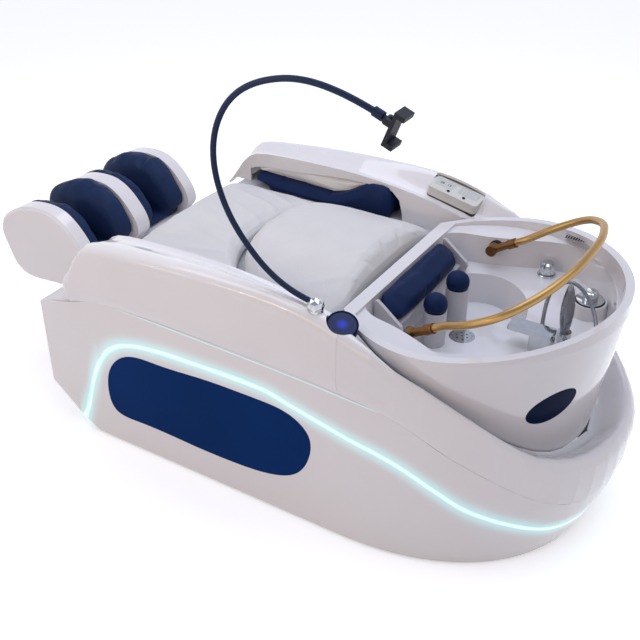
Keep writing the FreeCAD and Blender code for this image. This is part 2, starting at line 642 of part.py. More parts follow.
bezel_cut = round_slab(S.bezel_length + 2 * S.panel_fit, S.bezel_width + 2 * S.panel_fit, S.bezel_corner,
                       -S.overrun, S.overrun)
bezel_cut = set_in(bezel_cut, panel_at, panel_turn)
disc_cut = Part.makeCylinder(S.disc_radius + S.disc_ring + S.panel_fit, 2 * S.overrun, V(0, 0, -S.overrun))
disc_cut = set_in(disc_cut, disc_at, disc_turn)
socket_cut = Part.makeCylinder(S.socket_radius + S.panel_fit, 2 * S.overrun,
                               V(S.neck_x, -S.neck_y, S.neck_z - S.overrun))
shaped("armrest_near", armrests[-1].cut(disc_cut).cut(socket_cut).cut(crease_trim))
shaped("armrest_far", armrests[1].cut(bezel_cut).cut(crease_trim))
shaped("nose_collar", collar.cut(disc_cut).cut(bezel_cut).cut(crease_trim))



# Basin: a tapered tub with an egg-shaped bowl, a tap deck and a deeper well under the head
def rim_z(x):
    """Height of the rim, which rises to the nose and a little to the neck."""
    run = x - S.rim_pole_x
    return S.rim_height + S.rim_slope * run + S.rim_curve * (run / S.rim_curve_run) ** 2


def signed_power(value, power):
    return math.copysign(abs(value) ** power, value)


def tub_outline(reach, half, front_x, height_at, steps=24):
    """A closed outline: a rounded tub cut straight across at its front."""
    cut_share = min(max((S.basin_x - front_x) / reach, 0.05), 0.95)
    first = -math.asin(cut_share ** (BASIN_POWER / 2))
    spots = []
    for i in range(steps + 1):
        angle = first + (math.pi / 2 - first) * i / steps
        x = S.basin_x + reach * signed_power(math.sin(angle), 2 / BASIN_POWER)
        y = half * abs(math.cos(angle)) ** (2 / BASIN_POWER) if i < steps else 0.0
        spots.append((x, y))
    ring = [V(x, -y, height_at(x)) for x, y in spots] + [V(x, y, height_at(x)) for x, y in spots[-2::-1]]
    return Part.Wire([curve(ring), Part.makeLine(ring[-1], ring[0])])


def tub_loft(levels, front_x):
    """Levels are (sink from the rim as a height function, inset)."""
    wires = []
    for height_at, mean_z, inset in levels:
        sink = max((S.rim_height - mean_z) / (S.rim_height - S.basin_skirt_z), 0)
        wires.append(tub_outline(S.basin_reach - S.skirt_taper_x * sink - inset,
                                 S.basin_half - S.skirt_taper_y * sink - inset, front_x, height_at))
    return Part.makeLoft(wires, True, True)


def level(z):
    return lambda x: z


def below_rim():
    """Everything below the rim's curved height, right across the width."""
    first, last = S.basin_front_x - S.overrun, S.basin_x + S.basin_reach + S.overrun
    count = 8
    top = curve([V(x, 0, rim_z(x)) for x in (first + (last - first) * i / count for i in range(count + 1))])
    corners = [V(last, 0, rim_z(last)), V(last, 0, 0), V(first, 0, 0), V(first, 0, rim_z(first))]
    sides = [Part.makeLine(a, b) for a, b in zip(corners, corners[1:])]
    return across(Part.Wire([top] + sides))


basin_out = tub_loft([(level(S.basin_skirt_z), S.basin_skirt_z, 0), (level(S.rim_height), S.rim_height, 0),
                      (level(S.crown_height), S.rim_height, 0)], S.basin_front_x).common(below_rim())
shelf_back = S.shelf_z - S.basin_wall
under = tub_loft([(level(S.basin_skirt_z - S.overrun), S.basin_skirt_z, S.basin_wall),
                  (level(shelf_back), shelf_back, S.basin_wall)], S.basin_front_x + S.basin_wall)
rim_cut = tub_loft([(level(S.shelf_z), S.shelf_z, S.rim_width),
                    (level(S.crown_height), S.rim_height, S.rim_width)],
                   S.basin_front_x + S.front_lip)

# Share points (x, y) of the bowl's edge at the shelf: x from the front lip to the nose end of the bowl
BOWL_SHARES = ((0, .600), (.045, .656), (.16, .70), (.278, .75), (.40, .82), (.52, .885), (.62, .895),
               (.74, .81), (.87, .61), (.96, .32), (1.0, 0))


def bowl_outline(z, shrink):
    """The bowl's edge at one height, drawn in by a margin."""
    first = S.basin_front_x + S.front_lip + shrink * .35
    last = S.basin_x + S.basin_reach - S.rim_width * 1.8 - shrink
    half = S.basin_half - S.rim_width - shrink
    spots = [(first + share_x * (last - first), half * share_y) for share_x, share_y in BOWL_SHARES]
    ring = [V(x, -y, z) for x, y in spots] + [V(x, y, z) for x, y in spots[-2::-1]]
    return Part.Wire([curve(ring), Part.makeLine(ring[-1], ring[0])])


def well_outline(z, shrink):
    ellipse = Part.Ellipse(V(S.bowl_x, 0, z), S.bowl_half - shrink, S.bowl_reach - shrink)
    edge = ellipse.toShape()
    edge.rotate(V(S.bowl_x, 0, z), V(0, 0, 1), 90)
    return Part.Wire([edge])


bowl_cut = Part.makeLoft([bowl_outline(S.deck_z, S.bowl_draft), bowl_outline(S.shelf_z + S.seam_gap, 0)],
                         True, True)
well_cut = Part.makeLoft([well_outline(S.bowl_floor_z, S.bowl_draft * 1.6),
                          well_outline(S.deck_z + S.seam_gap, 0)], True, True)
bowl_wall = Part.makeLoft([bowl_outline(S.deck_z - S.basin_wall, S.bowl_draft - S.basin_wall),
                           bowl_outline(S.shelf_z, -S.basin_wall)], True, True)
well_wall = Part.makeLoft([well_outline(S.bowl_floor_z - S.basin_wall, S.bowl_draft * 1.6 - S.basin_wall),
                           well_outline(S.deck_z, -S.basin_wall)], True, True)
under = under.cut(bowl_wall).cut(well_wall)
boss = Part.makeCone(S.boss_radius, S.boss_radius * .86, S.boss_height + S.seam_gap,
                     V(S.mixer_x, S.mixer_y, S.deck_z - S.seam_gap))
basin_solid = basin_out.cut(rim_cut).cut(bowl_cut).cut(well_cut).cut(under).fuse(boss)
drain_hole = Part.makeCylinder(S.grate_radius + S.panel_fit, S.overrun,
                               V(S.bowl_x, 0, S.bowl_floor_z - S.grate_thickness))
waste_hole = Part.makeCylinder(S.waste_radius + S.panel_fit, S.overrun * 2,
                               V(S.bowl_x, 0, S.bowl_floor_z - S.overrun))
basin_solid = basin_solid.cut(drain_hole).cut(waste_hole)
for side in (-1, 1):
    bush_hole = Part.makeCylinder(S.bush_radius, S.overrun, V(S.pivot_x, side * S.bush_y, S.pivot_z),
                                  V(0, side, 0))
    basin_solid = basin_solid.cut(bush_hole)


def porthole_bar(side, half_long, half_short):
    """An oval bar driven square through the basin's outer wall."""
    step = S.rim_width
    x, z = S.port_x, S.port_z
    lean = (basin_half_at(x + step, z) - basin_half_at(x - step, z)) / (2 * step)
    flare = (basin_half_at(x, z + step) - basin_half_at(x, z - step)) / (2 * step)
    outward = V(-lean, side, -flare).normalize()
    level_way = V(1, side * lean, 0).normalize()
    up_way = outward.cross(level_way) * -side
    turn = math.radians(S.port_tilt)
    long_way = level_way * math.cos(turn) + up_way * math.sin(turn)
    short_way = up_way * math.cos(turn) - level_way * math.sin(turn)
    start = V(x, side * basin_half_at(x, z), z) - outward * S.basin_wall * 1.5
    edge = Part.Ellipse(start + long_way * half_long, start + short_way * half_short, start).toShape()
    return Part.Face(Part.Wire([edge])).extrude(outward * S.overrun)


tub_inside = tub_loft([(level(S.basin_skirt_z - S.overrun), S.basin_skirt_z, S.basin_wall),
                       (level(S.shelf_z), S.shelf_z, S.basin_wall)], S.basin_front_x + S.basin_wall)
panes = []
for side in (-1, 1):
    basin_solid = basin_solid.cut(porthole_bar(side, S.port_long + S.panel_fit, S.port_short + S.panel_fit))
    panes.append(porthole_bar(side, S.port_long, S.port_short).common(basin_out).cut(tub_inside))
shaped("basin", basin_solid)
shaped("portholes", Part.makeCompound(panes))

# Vent grille: a slotted strip on the inner wall under the rim
grille = rim_cut.cut(tub_loft([(level(S.shelf_z), S.shelf_z, S.rim_width + S.vent_thickness),
                               (level(S.crown_height), S.rim_height, S.rim_width + S.vent_thickness)],
                              S.basin_front_x + S.front_lip))
grille = grille.common(Part.makeBox(S.vent_head_x - S.vent_foot_x, S.basin_half, S.vent_width,
                                    V(S.vent_foot_x, S.rail_y / 2, S.vent_z)))
slot_pitch = S.vent_slot * 2.4
slot_half = S.vent_width * .34
slot_count = int((S.vent_head_x - S.vent_foot_x) / slot_pitch) - 1
for index in range(slot_count):
    slot = Part.makeBox(S.vent_slot, S.basin_half, 2 * slot_half, V(0, S.rail_y / 2, -slot_half))
    slot.rotate(V(0, 0, 0), V(0, 1, 0), S.vent_lean)
    slot.translate(V(S.vent_foot_x + slot_pitch * (index + 1), 0, S.vent_z + S.vent_width / 2))
    grille = grille.cut(slot)
shaped("vent_grille", grille)


# Runs: straight lengths joined by arcs that meet them smoothly
BEND_SHARE = .45


def run_wire(points, report=None):
    """A wire along the points, each corner rounded by an arc tangent to both of its runs."""
    edges = []
    radii = []
    last = points[0]
    for before, corner, after in zip(points, points[1:], points[2:]):
        into, away = (corner - before), (after - corner)
        shorter = min(into.Length, away.Length)
        into.normalize()
        away.normalize()
        turn = into.getAngle(away)
        back = BEND_SHARE * shorter
        start, end = corner - into * back, corner + away * back
        radius = back / math.tan(turn / 2)
        inward = (away - into).normalize()
        middle = corner + inward * (radius / math.cos(turn / 2) - radius)
        edges.append(Part.makeLine(last, start))
        edges.append(Part.Arc(start, middle, end).toShape())
        last = end
        radii.append(round(radius, 1))
    edges.append(Part.makeLine(last, points[-1]))
    if report:
        print(report, "bend radii", radii)
    return Part.Wire(edges)


def pipe_along(wire, radius):
    start = wire.Edges[0]
    first = start.valueAt(start.FirstParameter)
    way = start.tangentAt(start.FirstParameter)
    ring = Part.Wire([Part.makeCircle(radius, first, way)])
    return wire.makePipeShell([ring], True, False)


# Seat deck, foot ledge, steel frame and feet
block("seat_deck", "deck_foot_x + deck_head_x", "2 * (base_half_width - shell_wall)", "deck_thickness",
      ("-deck_foot_x", "-(base_half_width - shell_wall)", "deck_top - deck_thickness"))
keep("seat_deck", doc.seat_deck)

ledge = body_of("foot_ledge")
ledge_sketch = flat_sketch(ledge, "ledge_side", "XZ_Plane")
ledge_foot, ledge_head = S.shell_wall + S.seam_gap - S.foot_end_x, S.ledge_thickness - S.deck_foot_x
ledge_low = along(CREASE_SHARES, ledge_foot) - S.seam_gap
ledge_high = along(CREASE_SHARES, -S.deck_foot_x) - S.seam_gap
ledge_top = S.deck_top - S.deck_thickness
outline_in(ledge_sketch, [(ledge_foot, ledge_low), (-S.deck_foot_x, ledge_high),
                          (-S.deck_foot_x, ledge_top), (ledge_head, ledge_top),
                          (ledge_head, ledge_high - S.ledge_thickness),
                          (ledge_foot, ledge_low - S.ledge_thickness)])
ledge_pad = pad_of(ledge, ledge_sketch, "ledge_width", "2 * (base_half_width - shell_wall - seam_gap)")
ledge_pad.Midplane = True
keep("foot_ledge", ledge)

# Each tube of the welded frame butts against the ones before it
rails = []
for side, low_y in (("near", "-rail_y - rail / 2"), ("far", "rail_y - rail / 2")):
    rails.append(block(f"sill_{side}", "rail_foot_x + rail_head_x", "rail", "rail",
                       ("-rail_foot_x", low_y, "frame_bottom")))
    rails.append(block(f"top_rail_{side}", "post_foot_x + post_head_x + rail", "rail", "rail",
                       ("-post_foot_x", low_y, "deck_top - deck_thickness - rail")))
    rails.append(block(f"arm_rail_{side}", "sleeve_foot_x - post_foot_x", "rail", "rail",
                       ("-sleeve_foot_x", low_y, "rod_z - sleeve_radius - rail")))
    for name, x in (("foot", "-post_foot_x"), ("mid", "-post_mid_x"), ("head", "post_head_x")):
        rails.append(block(f"post_{name}_{side}", "rail", "rail",
                           "deck_top - deck_thickness - frame_bottom",
                           (x, low_y, "frame_bottom")))
    rails.append(block(f"saddle_post_{side}", "rail", "rail", "deck_z - basin_wall - frame_bottom",
                       ("saddle_x", low_y, "frame_bottom")))
full = "base_half_width - shell_wall"
sleeve_rail = "rod_z - sleeve_radius - rail"
for name, x, half, z in (("foot", "-rail_foot_x", full, "frame_bottom"),
                         ("mid", "-post_mid_x", full, "frame_bottom"),
                         ("head", "post_head_x", full, "frame_bottom"),
                         ("nose", "rail_head_x - rail", "rail_y", "frame_bottom"),
                         ("sleeve_foot", "-sleeve_foot_x", "rail_y", sleeve_rail),
                         ("sleeve_head", "-post_foot_x", "rail_y", sleeve_rail)):
    rails.append(block(f"cross_{name}", "rail", f"2 * ({half})", "rail", (x, f"-({half})", z)))
doc.recompute()
tubes = []
for rail in rails:
    tube_shape = rail.Shape
    for earlier in tubes:
        tube_shape = tube_shape.cut(earlier)
    tubes.extend(tube_shape.Solids)
shaped("base_frame", Part.makeCompound(tubes))

FOOT_SPOTS = (("-rail_foot_x + rail / 2", "rail_y"), ("post_head_x + rail / 2", "rail_y"),
              ("rail_head_x - rail / 2", "rail_y"))
feet = []
for index, (x, y) in enumerate(FOOT_SPOTS):
    for side in ("-", ""):
        tag = f"{index}{'n' if side else 'f'}"
        feet.append(rod(f"foot_disc_{tag}", "foot_radius", "foot_height", (x, side + y, "0")))
        feet.append(rod(f"foot_stem_{tag}", "stem_radius", "frame_bottom", (x, side + y, "0")))
keep("levelling_feet", joined("levelling_feet", feet))

# Works inside the base
block("equipment_tray", "rail_foot_x + post_head_x", "2 * rail_y - rail - 2 * seam_gap", "tray_thickness",
      ("-rail_foot_x", "-(rail_y - rail / 2 - seam_gap)", "frame_bottom + rail"))
keep("equipment_tray", doc.equipment_tray)
tray_top = "frame_bottom + rail + tray_thickness"
pump_at = ("-post_mid_x * 3", "-rail_y / 2", tray_top + " + pump_radius")
pump_body = rod("pump_body", "pump_radius", "pump_length", pump_at, ALONG_X)
pump_neck = rod("pump_neck", "tail_radius", "pump_radius",
                ("-post_mid_x * 2.4", "-rail_y / 2", tray_top + " + 1.8 * pump_radius"))
keep("water_pump", joined("water_pump", [pump_body, pump_neck]))
tank = body_of("water_heater")
tank_sketch = flat_sketch(tank, "tank_section")
circle_in(tank_sketch, "tank_radius")
pad_of(tank, tank_sketch, "tank_body", "tank_length")
tank_at = ("-tank_length", "rail_y / 2 - rail / 4", tray_top + " + tank_radius")
keep("water_heater", place(tank, tank_at, ALONG_X))
power = body_of("power_box")
power_sketch = flat_sketch(power, "power_outline")
rounded_in(power_sketch, S.box_length, S.box_width, S.bezel_corner)
pad_of(power, power_sketch, "power_body", "box_height")
keep("power_box", place(power, ("-(rail_foot_x - rail - box_length / 2)", "-rail_y / 2", tray_top)))

# Cushions: a crowned form with drawn-in sides
CUSHION_LEVELS = ((0.0, .22), (.22, .02), (.45, 0.0), (.68, .06), (.86, .26), (1.0, .75))


def cushion(x0, x1, y0, y1, z0, z1, corner, draw):
    """Levels are shares of the height with shares of the corner size drawn in."""
    wires = []
    for rise, inset_share in CUSHION_LEVELS:
        z = z0 + (z1 - z0) * rise
        inset = corner * inset_share
        a, b, c, d = x0 + inset, x1 - inset, y0 + inset, y1 - inset
        r = corner * (1 - .45 * inset_share)
        k = r * (1 - math.sqrt(.5))
        edges = []
        across_mid, along_mid = (a + b) / 2, (c + d) / 2
        sides = [((a + r, c), (across_mid, c + draw), (b - r, c)),
                 ((b, c + r), (b - draw, along_mid), (b, d - r)),
                 ((b - r, d), (across_mid, d - draw), (a + r, d)),
                 ((a, d - r), (a + draw, along_mid), (a, c + r))]
        bends = [(b - k, c + k), (b - k, d - k), (a + k, d - k), (a + k, c + k)]
        for i, (p, q, s) in enumerate(sides):
            after = sides[(i + 1) % 4][0]
            edges.append(Part.Arc(V(*p, z), V(*q, z), V(*s, z)).toShape())
            edges.append(Part.Arc(V(*s, z), V(*bends[i], z), V(*after, z)).toShape())
        wires.append(Part.Wire(edges))
    return Part.makeLoft(wires, True, True)


DRAW = S.soft_gap * 12
shaped("seat_cushion", cushion(-S.seat_foot_x, -S.fold_x - S.soft_gap, -S.seat_half, S.seat_half,
                               S.deck_top + S.soft_gap, S.seat_top, S.cushion_corner, DRAW))
shaped("back_cushion", cushion(-S.fold_x + S.soft_gap, S.back_head_x, -S.seat_half, S.seat_half,
                               S.deck_top + S.soft_gap, S.back_top, S.cushion_corner * 1.3, DRAW))


def arm_pads(inner_y, z0, z1):
    """A pair of pads, one in each armrest."""
    pads = []
    for side in (-1, 1):
        y0, y1 = sorted((side * inner_y, side * S.arm_pad_outer))
        pads.append(cushion(-S.arm_pad_foot_x, arm_pad_head, y0, y1, z0, z1, (z1 - z0) * .6, DRAW / 2))
    return Part.makeCompound(pads)


arm_pad_head = WINDOW_SHARES[-1][0] * S.half_length - S.arm_pad_end_gap
low_pad_top = S.deck_top + S.soft_gap + S.lower_pad_height
pad_inner = S.base_half_width - S.band_width + S.shell_wall + S.upper_pad_gap
shaped("arm_pads_lower", arm_pads(S.seat_half + 2 * S.soft_gap, S.deck_top + S.soft_gap, low_pad_top))
high_pad_foot = low_pad_top + S.arm_slot
shaped("arm_pads_upper", arm_pads(pad_inner, high_pad_foot, high_pad_foot + S.upper_pad_height))

# Leg rest: a two-trough calf massager on a pair of guide rods
# Share points of the side outline: along from the foot end, and up from the bottom
LEG_SHARES = ((0, .60), (.05, .745), (.16, .86), (.30, .955), (.48, 1.0), (.66, .985), (.80, .89),
              (.91, .74), (.99, .56), (.995, .43), (.93, .30), (.912, .17), (.88, .055), (.74, .03),
              (.55, .025), (.36, 0), (.22, .02), (.12, .12), (.04, .36))
LEG_REACH = S.half_length - S.leg_head_x + S.sleeve_radius * 2 - S.bush_gap


def leg_outline(y, inset):
    """The side outline of the leg rest, drawn in towards its middle."""
    height = S.leg_top - S.leg_bottom
    k_x, k_z = 1 - 2 * inset / LEG_REACH, 1 - 2 * inset / height
    spots = [V(LEG_REACH * (.5 + (u - .5) * k_x) - S.half_length, y,
               S.leg_bottom + height * (.5 + (w - .5) * k_z)) for u, w in LEG_SHARES]
    spline = Part.BSplineCurve()
    spline.interpolate(spots, PeriodicFlag=True)
    return Part.Wire([spline.toShape()])


round_in = S.leg_wall * .16
leg_solid = Part.makeLoft([leg_outline(-S.leg_half_width, round_in),
                           leg_outline(-S.leg_half_width + round_in, 0),
                           leg_outline(S.leg_half_width - round_in, 0),
                           leg_outline(S.leg_half_width, round_in)], True, True)
trough_width = S.leg_half_width - S.leg_wall - S.leg_mid_wall / 2
trough_y = S.leg_mid_wall / 2 + trough_width / 2
for side in (-1, 1):
    leg_solid = leg_solid.cut(Part.makeBox(LEG_REACH + 2 * S.overrun, trough_width, S.leg_top,
                                           V(-S.half_length - S.overrun, side * trough_y - trough_width / 2,
                                             S.trough_floor)))
    leg_solid = leg_solid.cut(Part.makeCylinder(S.rod_radius, LEG_REACH,
                                                V(-S.leg_head_x - S.rail, side * S.rod_y, S.rod_z),
                                                V(1, 0, 0)))
hollow_top = S.rod_z - S.rod_radius - S.shell_wall
hollow_half = S.leg_half_width - S.leg_wall / 2
leg_solid = leg_solid.cut(Part.makeBox(LEG_REACH * .55, 2 * hollow_half,
                                       S.overrun + hollow_top - S.leg_bottom,
                                       V(LEG_REACH * .25 - S.half_length, -hollow_half,
                                         S.leg_bottom - S.overrun)))
shaped("leg_rest_shell", leg_solid)


def calf_pad(side):
    """One trough's lining: two bulging side pads joined by a base pad."""
    low = side * trough_y - trough_width / 2 + S.soft_gap
    high = side * trough_y + trough_width / 2 - S.soft_gap
    lift = V(0, 0, S.calf_pad_rise)
    humps = []
    for wall_y, way in ((low, 1), (high, -1)):
        free_y = wall_y + way * S.calf_pad
        hump = Part.makeLoft([leg_outline(wall_y, round_in),
                              leg_outline(wall_y + way * S.calf_pad * .45, round_in * .7),
                              leg_outline(wall_y + way * S.calf_pad * .8, round_in * 1.6),
                              leg_outline(free_y, round_in * 3.2)], True, True)
        hump.translate(lift)
        humps.append(hump)
    base = Part.makeBox(LEG_REACH * .8, high - low, S.calf_pad_base,
                        V(-S.half_length + LEG_REACH * .1, low, S.trough_floor + S.soft_gap))
    whole = humps[0].fuse(humps[1]).fuse(base)
    floor = Part.makeBox(3 * LEG_REACH, 3 * trough_width, S.leg_top,
                         V(-S.half_length - LEG_REACH, low - trough_width, S.trough_floor + S.soft_gap))
    return whole.common(floor)


shaped("leg_rest_pads", Part.makeCompound([calf_pad(-1), calf_pad(1)]))
rods, sleeves = [], []
for side, y in (("near", "-rod_y"), ("far", "rod_y")):
    rods.append(rod(f"guide_rod_{side}", "rod_radius", "leg_head_x + rail - rod_head_x",
                    ("-leg_head_x - rail", y, "rod_z"), ALONG_X))
    shell = rod(f"sleeve_body_{side}", "sleeve_radius", "sleeve_foot_x - sleeve_head_x",
                ("-sleeve_foot_x", y, "rod_z"), ALONG_X)
    bore = rod(f"sleeve_bore_{side}", "rod_radius + fit_gap", "sleeve_foot_x - sleeve_head_x + 2 * overrun",
               ("-sleeve_foot_x - overrun", y, "rod_z"), ALONG_X)
    sleeves.append(minus(f"sleeve_{side}", shell, bore))
keep("leg_rest_rods", joined("leg_rest_rods", rods))
keep("leg_rest_sleeves", joined("leg_rest_sleeves", sleeves))

# Cable gland where the mains lead enters the foot end
gland_end = S.shell_wall + S.gland_head
gland_points = [(S.gland_bore, -S.gland_head), (S.gland_radius, -S.gland_head), (S.gland_radius, 0),
                (S.gland_neck, 0), (S.gland_neck, S.shell_wall), (S.gland_radius, S.shell_wall),
                (S.gland_radius, gland_end), (S.gland_bore, gland_end)]
keep("cable_gland", turned("cable_gland", gland_points, ("-foot_end_x", "-gland_y", "gland_z"), ALONG_X))

# Drain: a grate flush in the well's floor, the waste below it and the two supply tails
grate = body_of("drain_grate")
grate_sketch = flat_sketch(grate, "grate_holes")
circle_in(grate_sketch, "grate_radius")
circle_in(grate_sketch, "grate_hole")
GRATE_RINGS = ((.45, 6), (.78, 12))
for share, count in GRATE_RINGS:
    for index in range(count):
        angle = 2 * math.pi * index / count
        ring_radius = S.grate_radius * share
        spot = Part.Circle(V(ring_radius * math.cos(angle), ring_radius * math.sin(angle), 0),
                           V(0, 0, 1), S.grate_hole)
        grate_sketch.addGeometry(spot, False)
pad_of(grate, grate_sketch, "grate_plate", "grate_thickness")
keep("drain_grate", place(grate, ("bowl_x", "0", "bowl_floor_z - grate_thickness")))

floor_under = S.bowl_floor_z - S.basin_wall
trap_points = [(S.waste_radius - S.waste_wall, S.waste_end_z), (S.waste_radius, S.waste_end_z),
               (S.waste_radius, floor_under - S.trap_height), (S.trap_radius, floor_under - S.trap_height),
               (S.trap_radius, floor_under), (S.waste_radius, floor_under),
               (S.waste_radius, S.bowl_floor_z - S.grate_thickness),
               (S.waste_radius - S.waste_wall, S.bowl_floor_z - S.grate_thickness)]
keep("drain_trap", turned("drain_trap", trap_points, ("bowl_x", "0", "0")))

tails = []
for name, y in (("cold", "-tail_spacing / 2"), ("hot", "tail_spacing / 2")):
    pipe = rod(f"{name}_pipe", "tail_radius", "deck_z - basin_wall - tail_end_z",
               ("tail_x", y, "tail_end_z"))
    way = rod(f"{name}_way", "tail_radius - waste_wall / 2", "tail_end_z",
              ("tail_x", y, "tail_end_z - overrun / 10"))
    nut = rod(f"{name}_nut", "tail_radius * 1.6", "tail_radius * 1.5",
              ("tail_x", y, "deck_z - basin_wall - tail_radius * 1.5"))
    tails.append(minus(f"{name}_tail", joined(f"{name}_stem", [pipe, nut]), way))
keep("water_tails", joined("water_tails", tails))

# Neck pillow on its carrier, and the pair of head supports
# Share points of the pillow's side outline, in pillow lengths from the front and down from the top
PILLOW_SHARES = ((.006, -.60), (0, -.42), (0, -.25), (.01, -.10), (.06, .0), (.20, -.055), (.36, -.16),
                 (.52, -.28), (.68, -.42), (.79, -.58), (.80, -.74), (.70, -.87), (.52, -.93), (.30, -.93),
                 (.10, -.88), (.03, -.76))
# Stations along the pillow: (place, size, dip) as shares
PILLOW_STATION_SHARES = ((-1.0, .74, 0), (-.985, .90, 0), (-.93, .99, 0), (-.6, 1.0, .4), (0, 1.0, 1.0),
                         (.6, 1.0, .4), (.93, .99, 0), (.985, .90, 0), (1.0, .74, 0))
PILLOW_MIDDLE_SHARES = (.38, -.48)
PILLOW_FRONT_SHARE = 2.2


def pillow_section(place_share, size, dip):
    """One section; its dip is deepest along the top."""
    y = place_share * S.pillow_half
    mid_x, mid_z = PILLOW_MIDDLE_SHARES
    spots = []
    for u, w in PILLOW_SHARES:
        sag = dip * S.pillow_dip * max(1 + w * PILLOW_FRONT_SHARE, 0)
        spots.append(V(S.pillow_front_x + S.pillow_length * (mid_x + (u - mid_x) * size), y,
                       S.pillow_top_z + S.pillow_length * (mid_z + (w - mid_z) * size) - sag))
    spline = Part.BSplineCurve()
    spline.interpolate(spots, PeriodicFlag=True)
    return Part.Wire([spline.toShape()])


pillow_wires = [pillow_section(*station) for station in PILLOW_STATION_SHARES]
shaped("neck_pillow", Part.makeLoft(pillow_wires, True, True))

# Share points of a carrier side plate, in pillow lengths from the pillow's front and up from the deck
FIN_SHARES = ((.02, 0), (.02, 1.14), (.10, 1.17), (.30, 1.02), (1.06, .40), (1.10, .22), (1.0, 0))
fin_plates = []
for name, y in (("near", "-fin_y - fin_thickness"), ("far", "fin_y")):
    fin = body_of(f"fin_{name}")
    fin_sketch = flat_sketch(fin, f"fin_side_{name}", "XZ_Plane")
    outline_in(fin_sketch, [(S.pillow_length * u, S.pillow_length * w) for u, w in FIN_SHARES])
    fin_pad = pad_of(fin, fin_sketch, f"fin_body_{name}", "fin_thickness")
    fin_pad.Reversed = True
    fin_plates.append(place(fin, ("pillow_front_x", y, "deck_z")))
carrier = block("pillow_carrier", "pillow_length * .8", "2 * fin_y + fin_thickness", "carrier_thickness",
                ("pillow_front_x + pillow_length * .03", "-fin_y - fin_thickness / 2", "carrier_z"))
keep("neck_bracket", joined("neck_bracket", fin_plates + [carrier]))

posts, balls = [], []
for name, y in (("near", "-ball_y"), ("far", "ball_y")):
    column = rod(f"head_post_{name}", "post_radius", "post_top_z - bowl_floor_z",
                 ("ball_x", y, "bowl_floor_z"))
    hollow = doc.addObject("Part::Sphere", f"head_cup_{name}")
    ball = doc.addObject("Part::Sphere", f"head_ball_{name}")
    hollow.setExpression("Radius", bound("ball_radius + soft_gap"))
    ball.setExpression("Radius", bound("ball_radius"))
    for item in (hollow, ball):
        place(item, ("ball_x", y, "ball_z"))
    posts.append(minus(f"head_support_{name}", column, hollow))
    balls.append(ball)
keep("head_support_posts", joined("head_support_posts", posts))
keep("head_support_balls", joined("head_support_balls", balls))

# Rain bar: a folding water bar on two pivots in the basin's wall
tilt = math.radians(S.bar_tilt)
BAR_WAY = FreeCAD.Rotation(V(0, 1, 0), 90 - S.bar_tilt)


def bar_point(along_bar, y):
    return V(S.pivot_x + along_bar * math.cos(tilt), y, S.pivot_z + along_bar * math.sin(tilt))


bush_points = [(S.pin_radius + S.fit_gap, 0), (S.bush_radius, 0), (S.bush_radius, S.bush_length),
               (S.pin_radius + S.fit_gap, S.bush_length)]
bushes, elbows = [], []
stub_radius, ferrule_end = S.ferrule_radius * .8, S.stub_length + S.ferrule_length
ferrule_points = [(0, 0), (stub_radius, 0), (stub_radius, S.stub_length), (S.ferrule_radius, S.stub_length),
                  (S.ferrule_radius, ferrule_end), (0, ferrule_end)]
for name, way, turn in (("near", "-", MINUS_Y), ("far", "", ALONG_Y)):
    bushes.append(turned(f"bush_{name}", bush_points, ("pivot_x", way + "bush_y", "pivot_z"), turn))
    shank = "bush_y - bush_gap - elbow_length"
    body_part = rod(f"elbow_{name}", "elbow_radius", "elbow_length",
                    ("pivot_x", f"{way}({shank})", "pivot_z"), turn)
    pin_part = rod(f"elbow_pin_{name}", "pin_radius", "elbow_length + bush_gap + bush_length * .9",
                   ("pivot_x", f"{way}({shank})", "pivot_z"), turn)
    stub = turned(f"elbow_stub_{name}", ferrule_points, ("pivot_x", way + "bar_half", "pivot_z"), BAR_WAY)
    elbows.append(joined(f"elbow_whole_{name}", [body_part, pin_part, stub]))
keep("rain_bar_bushes", joined("rain_bar_bushes", bushes))
keep("rain_bar_elbows", joined("rain_bar_elbows", elbows))

# Corners of the bar's run, as shares of its reach and of its greatest half width
BAR_LEAD_SHARE = .270
BAR_SHARES = ((.484, 1.0), (.717, .987), (.904, .714), (1.0, .292))
far_side = [bar_point(ferrule_end, S.bar_half), bar_point(BAR_LEAD_SHARE * S.bar_reach, S.bar_half)]
far_side += [bar_point(u * S.bar_reach, w * S.bar_spread) for u, w in BAR_SHARES]
tube_points = far_side + [V(p.x, -p.y, p.z) for p in far_side[::-1]]
tube_wire = run_wire(tube_points)
tube = pipe_along(tube_wire, S.bar_radius).cut(pipe_along(tube_wire, S.bar_radius - S.bar_wall))
shaped("rain_bar_tube", tube)

# Mixer: a plate on the boss, a dome that turns and a lever that lifts
boss_top = S.deck_z + S.boss_height
gasket_points = [(S.spindle_radius * 1.4, 0), (S.gasket_radius, 0), (S.gasket_radius, S.gasket_thickness),
                 (S.spindle_radius * 1.4, S.gasket_thickness)]
keep("mixer_gasket", turned("mixer_gasket", gasket_points, ("mixer_x", "mixer_y", "deck_z + boss_height")))
bevel = S.turn_gap * 2
plate_points = [(S.spindle_radius + S.fit_gap, 0), (S.plate_radius, 0),
                (S.plate_radius, S.plate_thickness - bevel), (S.plate_radius - bevel, S.plate_thickness),
                (S.spindle_radius + S.fit_gap, S.plate_thickness)]
keep("mixer_plate", turned("mixer_plate", plate_points,
                           ("mixer_x", "mixer_y", "deck_z + boss_height + gasket_thickness")))
dome_base = boss_top + S.gasket_thickness + S.plate_thickness
R, H = S.dome_radius, S.dome_height
DOME_SHARES = ((1, .7), (.92, .88), (.75, .97), (0, 1))
dome_points = [(0, -S.plate_thickness * .9), (S.spindle_radius, -S.plate_thickness * .9),
               (S.spindle_radius, S.turn_gap), (R, S.turn_gap)] + [(R * u, H * w) for u, w in DOME_SHARES]
dome_foot = "deck_z + boss_height + gasket_thickness + plate_thickness"
